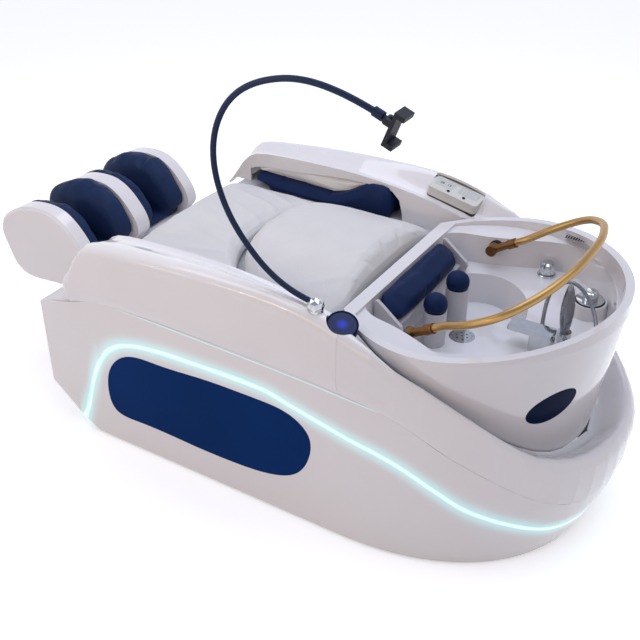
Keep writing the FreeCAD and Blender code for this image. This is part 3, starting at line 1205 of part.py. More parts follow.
dome_body = turned("dome_turning", dome_points, ("mixer_x", "mixer_y", dome_foot))
lever_turn = FreeCAD.Rotation(V(0, 0, 1), S.lever_heading)
pin_z = dome_foot + " + dome_height * .52"
slot_width = "lever_width + 2 * turn_gap"


def turned_offset(along_lever, sideways):
    """Formulas for a place given along and across the lever's heading."""
    heading = math.radians(S.lever_heading)
    c, s = math.cos(heading), math.sin(heading)
    return (f"mixer_x + ({along_lever}) * {c} - ({sideways}) * {s}",
            f"mixer_y + ({along_lever}) * {s} + ({sideways}) * {c}")


slot_spot = turned_offset("-lever_width * .7", "-lever_width / 2 - turn_gap")
slot = block("lever_slot", "2 * dome_radius", slot_width, "dome_height",
             (*slot_spot, pin_z + " - lever_width * .52"), lever_turn)
cross_turn = lever_turn.multiply(ALONG_Y)
bore = rod("lever_bore", "lever_pin_radius + fit_gap", "2.4 * dome_radius",
           (*turned_offset("0", "-dome_radius * 1.2"), pin_z), cross_turn)
keep("mixer_dome", minus("mixer_dome", minus("dome_slotted", dome_body, slot), bore))
hub_spot = turned_offset("0", "-lever_width / 2")
hub = rod("lever_hub", "lever_width * .48", "lever_width", (*hub_spot, pin_z), cross_turn)
lever_pin = rod("lever_pin", "lever_pin_radius", "2 * dome_radius * .9",
                (*turned_offset("0", "-dome_radius * .9"), pin_z), cross_turn)
arm = block("lever_arm", "lever_length", "lever_width", "lever_thickness",
            (*hub_spot, pin_z + " - lever_thickness * .2"), lever_turn)
keep("mixer_lever", joined("mixer_lever", [hub, lever_pin, arm]))

# Diverter knob on its flange
flange_points = [(S.spindle_radius + S.fit_gap, 0), (S.knob_flange_radius, 0),
                 (S.knob_flange_radius, S.knob_flange_height * .6),
                 (S.knob_flange_radius - S.turn_gap * 4, S.knob_flange_height),
                 (S.spindle_radius + S.fit_gap, S.knob_flange_height)]
keep("knob_flange", turned("knob_flange", flange_points, ("knob_x", "knob_y", "deck_z")))
KNOB_SHARES = ((.84, .0), (1.0, .10), (1.0, .62), (.90, .86), (.62, 1.0), (0, 1.0))
knob_points = [(0, -S.knob_flange_height * .9), (S.spindle_radius, -S.knob_flange_height * .9),
               (S.spindle_radius, S.turn_gap)]
knob_points += [(S.knob_radius * u, S.turn_gap + S.knob_height * w) for u, w in KNOB_SHARES]
knob_round = turned("knob_turning", knob_points, ("knob_x", "knob_y", "deck_z + knob_flange_height"))
flutes = []
FLUTES = 10
for index in range(FLUTES):
    angle = 2 * math.pi * index / FLUTES
    cos_a, sin_a = math.cos(angle), math.sin(angle)
    flutes.append(rod(f"knob_flute_{index}", "spindle_radius / 2", "knob_height",
                      (f"knob_x + knob_radius * 1.13 * {cos_a}", f"knob_y + knob_radius * 1.13 * {sin_a}",
                       "deck_z + knob_flange_height + knob_height * .2")))
keep("diverter_knob", minus("diverter_knob", knob_round, joined("knob_flutes", flutes)))

# Flat spout on a column, and the hand shower in its dock
column = body_of("tap_column")
column_sketch = flat_sketch(column, "column_outline")
rounded_in(column_sketch, S.column_depth, S.column_width, S.spout_thickness / 2)
pad_of(column, column_sketch, "column_body", "column_height")
keep("tap_column", place(column, ("tap_x", "-tap_y", "deck_z")))
spout = body_of("tap_spout")
spout_sketch = flat_sketch(spout, "spout_outline")
rounded_in(spout_sketch, S.spout_length, S.spout_width, S.spout_thickness / 2)
pad_of(spout, spout_sketch, "spout_plate", "spout_thickness")
lip_sketch = flat_sketch(spout, "spout_mouth")
lip_sketch.AttachmentOffset = FreeCAD.Placement(V(-S.spout_length * .42, 0, 0), FreeCAD.Rotation())
rounded_in(lip_sketch, S.spout_length * .08, S.spout_width * .8, S.spout_length * .03)
mouth = spout.newObject("PartDesign::Pocket", "spout_slot")
mouth.Profile = lip_sketch
mouth.Reversed = True
mouth.setExpression("Length", bound("spout_thickness / 2"))
spout.Tip = mouth
keep("tap_spout", place(spout, ("tap_x + column_depth / 2 - spout_length / 2", "-tap_y",
                                "deck_z + column_height")))

dock_x, dock_y = "shower_x", "shower_y"
cup = rod("dock_cup", "dock_radius", "dock_height", (dock_x, dock_y, "deck_z"))
nipple_turn = FreeCAD.Rotation(V(0, 0, 1), S.nipple_turn).multiply(ALONG_X)
nipple = rod("dock_nipple", "nipple_radius", "dock_radius + nipple_length",
             (dock_x, dock_y, "nipple_z"), nipple_turn)
socket = rod("dock_socket", "shower_radius + dock_gap", "dock_height",
             (dock_x, dock_y, "deck_z + dock_height - dock_depth"))
dock = minus("shower_dock", joined("dock_outside", [cup, nipple]), socket)
outlet = rod("outlet_post", "outlet_radius", "outlet_height", ("outlet_x", "outlet_y", "deck_z"))
keep("hose_fittings", joined("hose_fittings", [dock, outlet]))

# Share sizes (height, half width, half depth) of the hand shower, in shower heights and head radii
STEM_SHARE = S.shower_radius / S.shower_head_radius
SHOWER_SHARES = ((0, STEM_SHARE, STEM_SHARE), (.07, STEM_SHARE, STEM_SHARE), (.15, STEM_SHARE, STEM_SHARE),
                 (.19, .67, .61), (.30, .86, .66), (.46, 1.0, .70), (.62, .98, .68), (.78, .80, .60),
                 (.90, .56, .48), (.97, .36, .34), (1.0, .18, .18))
shower_base = S.deck_z + S.dock_height - S.dock_depth + S.dock_gap
wires = []
for rise, wide, deep in SHOWER_SHARES:
    centre = V(S.shower_x, S.shower_y, shower_base + S.shower_height * rise)
    wide_way = V(math.cos(math.radians(S.shower_turn)), math.sin(math.radians(S.shower_turn)), 0)
    deep_way = V(-wide_way.y, wide_way.x, 0)
    oval = Part.Ellipse(centre + wide_way * S.shower_head_radius * wide * 1.0001,
                        centre + deep_way * S.shower_head_radius * deep, centre)
    wires.append(Part.Wire([oval.toShape()]))
shaped("hand_shower", Part.makeLoft(wires, True, True))

heading = math.radians(S.nipple_turn)
reach_out = S.dock_radius + S.nipple_length
# Corners of the hose's run, in hose radii from the nipple's mouth (x, y) and above its height
HOSE_CORNERS = ((3.6, -6.2, .2), (10.3, -4.9, -.6), (11.9, 4.7, 0), (9.4, 14.2, 4.0), (3.1, 19.7, 13.2),
                (-5.2, 17.8, 21.7), (-11.9, 11.3, 20.7))
mouth_at = V(S.shower_x + reach_out * math.cos(heading), S.shower_y + reach_out * math.sin(heading),
             S.nipple_z)
outlet_top = S.deck_z + S.outlet_height
hose_points = [mouth_at] + [mouth_at + V(u, v, w) * S.hose_radius for u, v, w in HOSE_CORNERS]
hose_points += [V(S.outlet_x, S.outlet_y, outlet_top + rise) for rise in (S.hose_radius * 12.5, 0)]
hose_wire = run_wire(hose_points, "shower_hose")
shaped("shower_hose", pipe_along(hose_wire, S.hose_radius).cut(pipe_along(hose_wire, S.hose_bore)))

# Control panel let into the far armrest: bezel, screen, key field and two sprung keys


def in_panel(item, x, y, z):
    """Places a piece made about its own origin at a spot of the panel's face."""
    item.Placement = FreeCAD.Placement(panel_at + panel_turn.multVec(V(x, y, z)), panel_turn)
    return item


def panel_pocket(body, name, draw, depth, x, y, top):
    """A pocket in the panel's face; draw adds the outline to the sketch."""
    sketch = flat_sketch(body, name + "_outline")
    sketch.AttachmentOffset = FreeCAD.Placement(V(x, y, top), FreeCAD.Rotation())
    draw(sketch)
    pocket = body.newObject("PartDesign::Pocket", name)
    pocket.Profile = sketch
    pocket.Length = depth
    return pocket


def slab_body(label, length, width, corner, height):
    body = body_of(label)
    sketch = flat_sketch(body, label + "_outline")
    rounded_in(sketch, length, width, corner)
    pad_of(body, sketch, label + "_body", height)
    return body


screen_y, keypad_x, keypad_y = S.screen_width * .2, S.screen_x * .95, S.screen_width * .225
keypad_length, keypad_width = S.screen_length * 1.12, S.screen_width * .95
small_corner = S.bezel_corner * .2
bezel = slab_body("control_bezel", S.bezel_length, S.bezel_width, S.bezel_corner, "bezel_thickness")
fit = 2 * S.panel_fit
SEATS = (("screen", S.screen_length + fit, S.screen_width + fit, -S.screen_x, screen_y),
         ("keypad", keypad_length + fit, keypad_width + fit, keypad_x, keypad_y))
for name, length, width, x, y in SEATS:
    panel_pocket(bezel, name + "_seat", lambda s: rounded_in(s, length, width, small_corner),
                 S.screen_depth, x, y, S.bezel_thickness)
key_depth = S.key_height - S.key_stand + S.key_travel + S.key_gap
key_spots = (("key_left", S.key_x - S.key_spacing / 2), ("key_right", S.key_x + S.key_spacing / 2))
for name, x in key_spots:
    last_pocket = panel_pocket(bezel, name + "_bore", lambda s: circle_in(s, "key_radius + key_gap"),
                               key_depth, x, -S.key_y, S.bezel_thickness)
bezel.Tip = last_pocket
keep("control_bezel", in_panel(bezel, 0, 0, -S.bezel_thickness))
screen = slab_body("control_screen", S.screen_length, S.screen_width, small_corner, "screen_depth")
keep("control_screen", in_panel(screen, -S.screen_x, screen_y, -S.screen_depth))
keypad = slab_body("control_keypad", keypad_length, keypad_width, small_corner, "screen_depth")
keep("control_keypad", in_panel(keypad, keypad_x, keypad_y, -S.screen_depth))
for name, x in key_spots:
    key = body_of(name)
    key_sketch = flat_sketch(key, name + "_circle")
    circle_in(key_sketch, "key_radius")
    pad_of(key, key_sketch, name + "_cap", "key_height")
    keep(name, in_panel(key, x, -S.key_y, S.key_stand - S.key_height))

# Touch disc in its ring on the near armrest
ring_outer = S.disc_radius + S.disc_ring
ring_points = [(0, -S.disc_thickness), (ring_outer, -S.disc_thickness), (ring_outer, 0),
               (S.disc_radius + S.panel_fit, 0), (S.disc_radius + S.panel_fit, -S.disc_ring),
               (0, -S.disc_ring)]
ring = turned("touch_ring", ring_points, ("0", "0", "0"))
disc_points = [(0, -S.disc_ring), (S.disc_radius, -S.disc_ring), (S.disc_radius, S.disc_ring * -.3),
               (S.disc_radius * .96, 0), (0, S.disc_ring * .4)]
disc = turned("touch_disc", disc_points, ("0", "0", "0"))
for name, item in (("touch_ring", ring), ("touch_disc", disc)):
    for axis in "xyz":
        item.setExpression(f"Placement.Base.{axis}", None)
    item.Placement = FreeCAD.Placement(disc_at, disc_turn)
    keep(name, item)

# Phone holder: a socket on the near armrest, a curved arm that swivels, a tilting head and a sliding jaw
swivel_bore, swivel_floor = S.swivel_pin_radius + S.fit_gap, -S.swivel_pin_depth - S.fit_gap
socket_points = [(0, -S.socket_height), (S.socket_radius, -S.socket_height), (S.socket_radius, 0),
                 (swivel_bore, 0), (swivel_bore, swivel_floor), (0, swivel_floor)]
keep("gooseneck_socket", turned("gooseneck_socket", socket_points, ("neck_x", "-neck_y", "neck_z")))

# Corners of the arm's curve from its socket, as shares of its sweep (x) and of its rise (z)
NECK_SHARES = ((-.319, .039), (-.674, .187), (-.917, .384), (-1.0, .614), (-.824, .844), (-.412, .975),
               (.096, 1.0), (.600, .897))
ball_z = S.neck_z + S.ball_joint_radius * .8
poles = [V(S.neck_x, -S.neck_y, ball_z)]
poles += [V(S.neck_x + S.neck_sweep * u, -S.neck_y, S.neck_z + S.neck_rise * w) for u, w in NECK_SHARES]
eye = poles[-1]
out_way = (poles[-1] - poles[-2]).normalize()
neck_curve = Part.BSplineCurve()
neck_curve.buildFromPoles(poles, False, 3)
neck_pipe = pipe_along(Part.Wire([neck_curve.toShape()]), S.neck_radius)
ball = Part.makeSphere(S.ball_joint_radius, poles[0])
flat_cut = Part.makeBox(S.socket_radius * 4, S.socket_radius * 4, S.socket_radius,
                        V(S.neck_x - S.socket_radius * 2, -S.neck_y - S.socket_radius * 2,
                          S.neck_z + S.turn_gap - S.socket_radius))
swivel_pin = Part.makeCylinder(S.swivel_pin_radius, ball_z - S.neck_z + S.swivel_pin_depth - S.turn_gap,
                               V(S.neck_x, -S.neck_y, S.neck_z - S.swivel_pin_depth + S.turn_gap))
neck_end = eye - out_way * S.clamp_ear * 1.5
end_collar = Part.makeCylinder(S.collar_radius, S.collar_length, neck_end - out_way * S.collar_length,
                               out_way)
lug = Part.makeCylinder(S.clamp_ear, S.collar_radius, eye - V(0, S.collar_radius / 2, 0), V(0, 1, 0))
lug_bore = Part.makeCylinder(S.clamp_pin_radius + S.fit_gap, S.overrun, eye - V(0, S.overrun / 2, 0),
                             V(0, 1, 0))
tube_end = Part.makeCylinder(S.collar_radius * 2, S.collar_length * 2, neck_end, out_way)
slim_run = S.clamp_ear * 2.4
slim_start = eye - out_way * slim_run
slim = Part.makeBox(S.clamp_ear * 3, S.collar_radius, S.clamp_ear,
                    V(0, -S.collar_radius / 2, -S.clamp_ear / 2))
slim.Placement = FreeCAD.Placement(slim_start, FreeCAD.Rotation(V(1, 0, 0), out_way))
slim = slim.common(Part.makeCylinder(S.collar_radius * 2, slim_run, slim_start, out_way))
arm_solid = neck_pipe.cut(tube_end)
for piece in (ball.cut(flat_cut), swivel_pin, end_collar, lug, slim):
    arm_solid = arm_solid.fuse(piece)
shaped("gooseneck_arm", arm_solid.cut(lug_bore).removeSplitter())

# The clamp's own frame: x out of the arm's end, y across, z up its face
clamp_turn = FreeCAD.Rotation(V(1, 0, 0), out_way)
back_x = S.clamp_ear * 1.9
half_wide, half_high = S.clamp_width / 2, S.clamp_height / 2
ear_y = S.collar_radius / 2 + S.turn_gap
head = Part.makeBox(S.clamp_plate, S.clamp_width, S.clamp_height, V(back_x, -half_wide, -half_high))
head = head.fuse(Part.makeBox(S.jaw_reach, S.clamp_width, S.jaw_thickness,
                              V(back_x, -half_wide, half_high - S.jaw_thickness)))
for side in (-1, 1):
    low_y = side * ear_y if side > 0 else -ear_y - S.clamp_ear
    ear = Part.makeBox(back_x, S.clamp_ear, 2 * S.clamp_ear, V(0, low_y, -S.clamp_ear))
    head = head.fuse(ear).fuse(Part.makeCylinder(S.clamp_ear, S.clamp_ear, V(0, low_y, 0), V(0, 1, 0)))
pin_end = ear_y + S.clamp_ear
head = head.fuse(Part.makeCylinder(S.clamp_pin_radius, 2 * pin_end, V(0, -pin_end, 0), V(0, 1, 0)))
guide_y = half_wide * .6
guide_x = back_x + S.clamp_plate / 2
jaw_foot = -half_high - S.jaw_thickness - S.turn_gap
jaw = Part.makeBox(S.jaw_reach, S.clamp_width, S.jaw_thickness, V(back_x, -half_wide, jaw_foot))
for side in (-1, 1):
    spot = V(guide_x, side * guide_y, -half_high - S.turn_gap - S.jaw_thickness / 2)
    depth = S.jaw_thickness / 2 + S.turn_gap + S.guide_length
    jaw = jaw.fuse(Part.makeCylinder(S.guide_radius, depth, spot, V(0, 0, 1)))
    head = head.cut(Part.makeCylinder(S.guide_radius + S.fit_gap, S.guide_length + S.turn_gap,
                                      V(guide_x, side * guide_y, -half_high), V(0, 0, 1)))
for label, shape in (("clamp_head", head), ("clamp_jaw", jaw)):
    shaped(label, set_in(shape, eye, clamp_turn))


# Every object is checked before anything is written
doc.recompute()
failed = [item.Label for item in doc.Objects if {"Invalid", "Error"} & set(item.State)]
failed += [label for label, item in PIECES.items() if item.Shape.isNull() or not item.Shape.isValid()]
if failed:
    raise SystemExit(f"not built: {failed}")
for label, item in PIECES.items():
    box = item.Shape.optimalBoundingBox()
    print(label, round(item.Shape.Volume / 1000, 1), "cm3", len(item.Shape.Solids), "solids",
          [round(v) for v in (box.XMin, box.XMax, box.YMin, box.YMax, box.ZMin, box.ZMax)])
    item.Shape.exportStep(f"parts/{label}.step")
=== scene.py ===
"""Looks of the hair washing bed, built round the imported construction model. Units are metres."""
import json
import math

import bmesh
import bpy
import numpy as np
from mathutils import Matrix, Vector


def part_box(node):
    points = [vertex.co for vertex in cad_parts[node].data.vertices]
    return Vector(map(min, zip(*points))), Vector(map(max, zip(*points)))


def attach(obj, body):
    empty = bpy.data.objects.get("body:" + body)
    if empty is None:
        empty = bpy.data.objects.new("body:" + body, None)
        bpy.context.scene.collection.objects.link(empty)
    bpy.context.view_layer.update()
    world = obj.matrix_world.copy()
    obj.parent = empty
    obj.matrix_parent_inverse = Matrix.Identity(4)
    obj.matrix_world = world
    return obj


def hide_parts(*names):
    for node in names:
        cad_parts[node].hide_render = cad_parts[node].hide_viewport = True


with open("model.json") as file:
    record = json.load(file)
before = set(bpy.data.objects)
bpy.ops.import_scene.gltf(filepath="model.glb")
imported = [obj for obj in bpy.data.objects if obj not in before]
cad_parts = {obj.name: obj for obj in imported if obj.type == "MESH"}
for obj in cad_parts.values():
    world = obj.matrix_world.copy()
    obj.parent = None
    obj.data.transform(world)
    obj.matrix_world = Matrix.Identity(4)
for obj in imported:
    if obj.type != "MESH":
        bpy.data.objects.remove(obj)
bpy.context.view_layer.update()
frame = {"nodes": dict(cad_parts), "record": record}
NODES = frame["nodes"]
MM = 0.001
SLOT_OF = {part["node"]: part["material_slot"] for part in frame["record"]["subparts"]}

# The camera stands where the photograph was taken from.
CAMERA_PLACE = Vector((1.4712, -2.3247, 2.1))
CAMERA_AZIMUTH = 31.7
CAMERA_ELEVATION = 32.4
CAMERA_LENS = 56.76

# Route of the shower hose, in mm, from the dock's nipple over the deck to its outlet.
HOSE_ROUTE = (
    (836.5, -23.1, 576), (858.1, -60.3, 577.2), (898.3, -52.5, 572.4), (907.9, 5.1, 576), (892.9, 62.1, 600),
    (855.1, 95.1, 655.2), (805.3, 83.7, 706.2), (765.1, 44.7, 700.2), (752, 22, 649), (752, 22, 574),
)
HOSE_DIAMETER = 12
# Ribs of the hose, and the step in mm between the rings it is drawn with.
HOSE_RIB_PITCH, HOSE_RIB_HEIGHT, HOSE_RIB_INSET, HOSE_STEP = 5, 0.45, 0.4, 0.8

# The light strip's line along the side, as the height in mm at each place along the bed.
STRIP_LINE = (
    (-600, 20), (-567, 72), (-510, 235), (-480, 296), (-420, 368), (-351, 402), (-250, 420), (-80, 428),
    (120, 430), (239, 408), (394, 374), (525, 345), (661, 277), (742, 224), (815, 188), (882, 153),
    (956, 107), (1020, 84),
)
# The crease under the near armrest, where a thin line of the strip's light is painted on the shell as a glow.
CREASE_LINE = ((-400, 515), (-335, 521), (0, 516), (300, 507), (513, 492), (620, 480))

# The strip's light painted on the shell as a glow: the reach in mm of its wide halo and of the bright edge
# beside the strip, how fast each falls off, how strong the halo and the line in the crease are, and the
# strip's own pale core.
HALO_REACH, HALO_FALL, HALO_GLOW = 75, 3.0, 0.34
EDGE_REACH, EDGE_FALL = 15, 1.6
CREASE_WIDTH, CREASE_TAPER, CREASE_GLOW = 3.2, 160, 0.4
STRIP_CORE = 14


def linear(text):
    """Linear colour of an sRGB hex value."""
    values = [int(text[i:i + 2], 16) / 255 for i in (1, 3, 5)]
    return (*[v / 12.92 if v <= 0.04045 else ((v + 0.055) / 1.055) ** 2.4 for v in values], 1.0)


def add(tree, kind, inputs=(), **settings):
    """Adds a node with its settings and links, and gives its outputs. A short kind is a shader node."""
    node = tree.nodes.new(kind if "Node" in kind else "ShaderNode" + kind)
    for name, value in settings.items():
        setattr(node, name, value)
    for key, value in dict(inputs).items():
        if isinstance(value, bpy.types.NodeSocket):
            tree.links.new(value, node.inputs[key])
        else:
            node.inputs[key].default_value = value
    return node.outputs


def finish_named(name, build):
    """A material whose shader is made by build."""
    made = bpy.data.materials.new(name)
    made.use_nodes = True
    made.node_tree.nodes.clear()
    add(made.node_tree, "OutputMaterial", {"Surface": build(made.node_tree)})
    return made


def cloudy(tree, size, detail=2.0, stretch=(1, 1, 1)):
    """A soft random pattern with patches about size mm across, drawn out along an axis by stretch."""
    at = add(tree, "TexCoord")["Object"]
    at = add(tree, "Mapping", {"Vector": at, "Scale": stretch})["Vector"]
    return add(tree, "TexNoise", {"Vector": at, "Scale": 1 / (size * MM), "Detail": detail})[0]


def pebbled(tree, size):
    """Rounded cells about size mm across, as in leather grain."""
    at = add(tree, "TexCoord")["Object"]
    return add(tree, "TexVoronoi", {"Vector": at, "Scale": 1 / (size * MM)}, feature="SMOOTH_F1")[0]


def ranged(tree, share, low, high):
    """A pattern spread from low to high."""
    return add(tree, "MapRange", {"Value": share, "To Min": low, "To Max": high})[0]


def mixed(tree, share, first, second):
    """Two colours mixed by a pattern."""
    return add(tree, "Mix", {0: share, 6: first, 7: second}, data_type="RGBA")[2]


def raised(tree, pattern, depth):
    """Relief that rises by up to depth mm with a pattern."""
    return add(tree, "Bump", {"Height": pattern, "Strength": 1.0, "Distance": depth * MM})[0]


def near_line(tree, line, width, taper=1):
    """A share that is 1 on a line drawn on the side of the bed. It fades over width mm to its sides and over
    taper mm at its ends."""
    at = add(tree, "SeparateXYZ", {"Vector": add(tree, "TexCoord")["Object"]})
    first, last = line[0][0] * MM, line[-1][0] * MM
    low, high = min(z for _, z in line) * MM, max(z for _, z in line) * MM
    along = add(tree, "MapRange", {"Value": at["X"], "From Min": first, "From Max": last})[0]

    def curve(points):
        node = tree.nodes.new("ShaderNodeFloatCurve")
        tree.links.new(along, node.inputs["Value"])
        track = node.mapping.curves[0]
        while len(track.points) < len(points):
            track.points.new(0.5, 0.5)
        for spot, (x, y) in zip(track.points, points):
            spot.location = (x, y)
            spot.handle_type = "AUTO_CLAMPED"
        node.mapping.update()
        return node.outputs[0]

    shares = [((x * MM - first) / (last - first), (z * MM - low) / (high - low)) for x, z in line]
    slants = []
    for i, (x, _) in enumerate(line):
        (x0, z0), (x1, z1) = line[max(i - 1, 0)], line[min(i + 1, len(line) - 1)]
        slants.append((shares[i][0], (x1 - x0) / math.hypot(x1 - x0, z1 - z0)))
    level = ranged(tree, curve(shares), low, high)
    off = add(tree, "Math", {0: at["Z"], 1: level}, operation="SUBTRACT")[0]
    off = add(tree, "Math", {0: off, 1: curve(slants)}, operation="MULTIPLY")[0]
    off = add(tree, "Math", {0: off}, operation="ABSOLUTE")[0]
    beside = add(tree, "MapRange", {"Value": off, "From Max": width * MM, "To Min": 1.0, "To Max": 0.0},
                 interpolation_type="SMOOTHERSTEP")[0]
    foot = add(tree, "MapRange", {"Value": at["X"], "From Min": first, "From Max": first + taper * MM})[0]
    head = add(tree, "MapRange", {"Value": at["X"], "From Min": last, "From Max": last - taper * MM})[0]
    ends = add(tree, "Math", {0: foot, 1: head}, operation="MULTIPLY")[0]
    return add(tree, "Math", {0: beside, 1: ends}, operation="MULTIPLY")[0]


def gelcoat(tree, **extra):
    """Gelcoat: white polyester sprayed in a mould and polished, deep gloss over a faint long ripple."""
    inputs = {
        "Base Color": mixed(tree, cloudy(tree, 260), linear("#e3e1e2"), linear("#dddbdc")),
        "Roughness": ranged(tree, cloudy(tree, 40), 0.08, 0.15),
        "IOR": 1.5,
        "Coat Weight": 0.6,
        "Coat Roughness": 0.03,
        "Normal": raised(tree, cloudy(tree, 60, 1.0), 0.12),
    }
    return add(tree, "BsdfPrincipled", {**inputs, **extra})[0]


def lit_gelcoat(tree):
    """The same gelcoat, with the light strip's light painted beside the strip as a glow in a soft cyan edge.
    """
    wide = add(tree, "Math", {0: near_line(tree, STRIP_LINE, HALO_REACH), 1: HALO_FALL}, operation="POWER")[0]
    wide = add(tree, "Math", {0: wide, 1: HALO_GLOW}, operation="MULTIPLY")[0]
    edge = add(tree, "Math", {0: near_line(tree, STRIP_LINE, EDGE_REACH), 1: EDGE_FALL}, operation="POWER")[0]
    thin = near_line(tree, CREASE_LINE, CREASE_WIDTH, CREASE_TAPER)
    thin = add(tree, "Math", {0: thin, 1: CREASE_GLOW}, operation="MULTIPLY")[0]
    glow = add(tree, "Math", {0: wide, 1: edge}, operation="MAXIMUM")[0]
    glow = add(tree, "Math", {0: glow, 1: thin}, operation="MAXIMUM")[0]
    tint = mixed(tree, edge, linear("#4fe6e8"), linear("#b4fbf8"))
    return gelcoat(tree, **{"Emission Color": tint, "Emission Strength": glow})


def light_strip(tree):
    """Opal silicone light strip, extruded: an even glow, whitest along its middle."""
    core = near_line(tree, STRIP_LINE, STRIP_CORE)
    tint = mixed(tree, core, linear("#a6f6f5"), linear("#ecfffe"))
    return add(tree, "BsdfPrincipled", {
        "Base Color": linear("#5f9f9f"), "Roughness": 0.5, "Specular IOR Level": 0.2,
        "Emission Color": tint, "Emission Strength": 0.92})[0]


def dark_acrylic(dark, pale):
    """Cast acrylic, dyed navy: a hard even gloss over a colour that is paler where light gets behind it."""
    def build(tree):
        depth = cloudy(tree, 320, 1.0)
        return add(tree, "BsdfPrincipled", {
            "Base Color": mixed(tree, depth, linear(dark), linear(pale)),
            "Roughness": ranged(tree, cloudy(tree, 25), 0.05, 0.10), "IOR": 1.49, "Specular IOR Level": 0.02,
            "Normal": raised(tree, cloudy(tree, 90, 1.0), 0.15)})[0]
    return build


def glazed_bowl(tree):
    """Sanitary glaze on a cast basin: a wet gloss with slight waves where the glaze pooled."""
    return add(tree, "BsdfPrincipled", {
        "Base Color": mixed(tree, cloudy(tree, 180), linear("#dad8da"), linear("#d2d0d2")),
        "Roughness": ranged(tree, cloudy(tree, 35), 0.05, 0.11), "IOR": 1.52, "Coat Weight": 0.8,
        "Coat Roughness": 0.03, "Normal": raised(tree, cloudy(tree, 45, 1.0), 0.14)})[0]


def leather(dark, pale, grain_depth=0.5, specular=0.5, roughness=(0.42, 0.58)):
    """Coated upholstery leather, embossed. The grain is drawn 4 mm across so that it shows."""
    def build(tree):
        grain = pebbled(tree, 4)
        worn = cloudy(tree, 70, 3.0)
        return add(tree, "BsdfPrincipled", {
            "Base Color": mixed(tree, worn, linear(dark), linear(pale)),
            "Roughness": ranged(tree, worn, *roughness), "IOR": 1.45, "Specular IOR Level": specular,
            "Normal": raised(tree, grain, grain_depth)})[0]
    return build


def metal(dark, pale, roughness, grain=(1, 1, 1), size=8, depth=0.02):
    """A bare or plated metal, with the fine lines left by the way it was finished."""
    def build(tree):
        lines = cloudy(tree, size, 3.0, grain)
        return add(tree, "BsdfPrincipled", {
            "Base Color": mixed(tree, lines, linear(dark), linear(pale)), "Metallic": 1.0,
            "Roughness": ranged(tree, lines, *roughness), "Normal": raised(tree, lines, depth)})[0]
    return build


def moulded(dark, pale, roughness, size=6, depth=0.08, specular=0.5):
    """An injection-moulded plastic or rubber, with the fine texture of its mould."""
    def build(tree):
        texture = cloudy(tree, size, 4.0)
        return add(tree, "BsdfPrincipled", {
            "Base Color": mixed(tree, texture, linear(dark), linear(pale)), "IOR": 1.5,
            "Specular IOR Level": specular, "Roughness": ranged(tree, texture, *roughness),
            "Normal": raised(tree, texture, depth)})[0]
    return build


# How far the light of the touch disc's mark spreads, in mm.
MARK_REACH = 24


def touch_face(tree):
    """Tempered glass over a lit mark: navy at the rim, blue light spreading from the middle."""
    low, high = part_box("touch_disc")
    middle = (low + high) / 2
    spot = add(tree, "TexCoord")["Object"]
    at = add(tree, "VectorMath", {0: spot, 1: middle}, operation="DISTANCE")["Value"]
    near = add(tree, "MapRange", {"Value": at, "From Max": MARK_REACH * MM, "To Min": 1.0, "To Max": 0.0},
               interpolation_type="SMOOTHERSTEP")[0]
    return add(tree, "BsdfPrincipled", {
        "Base Color": mixed(tree, near, linear("#0a1c4c"), linear("#0f2a80")), "Roughness": 0.08, "IOR": 1.52,
        "Specular IOR Level": 0.2, "Emission Color": linear("#1b2fd0"),
        "Emission Strength": ranged(tree, near, 0.0, 0.5)})[0]


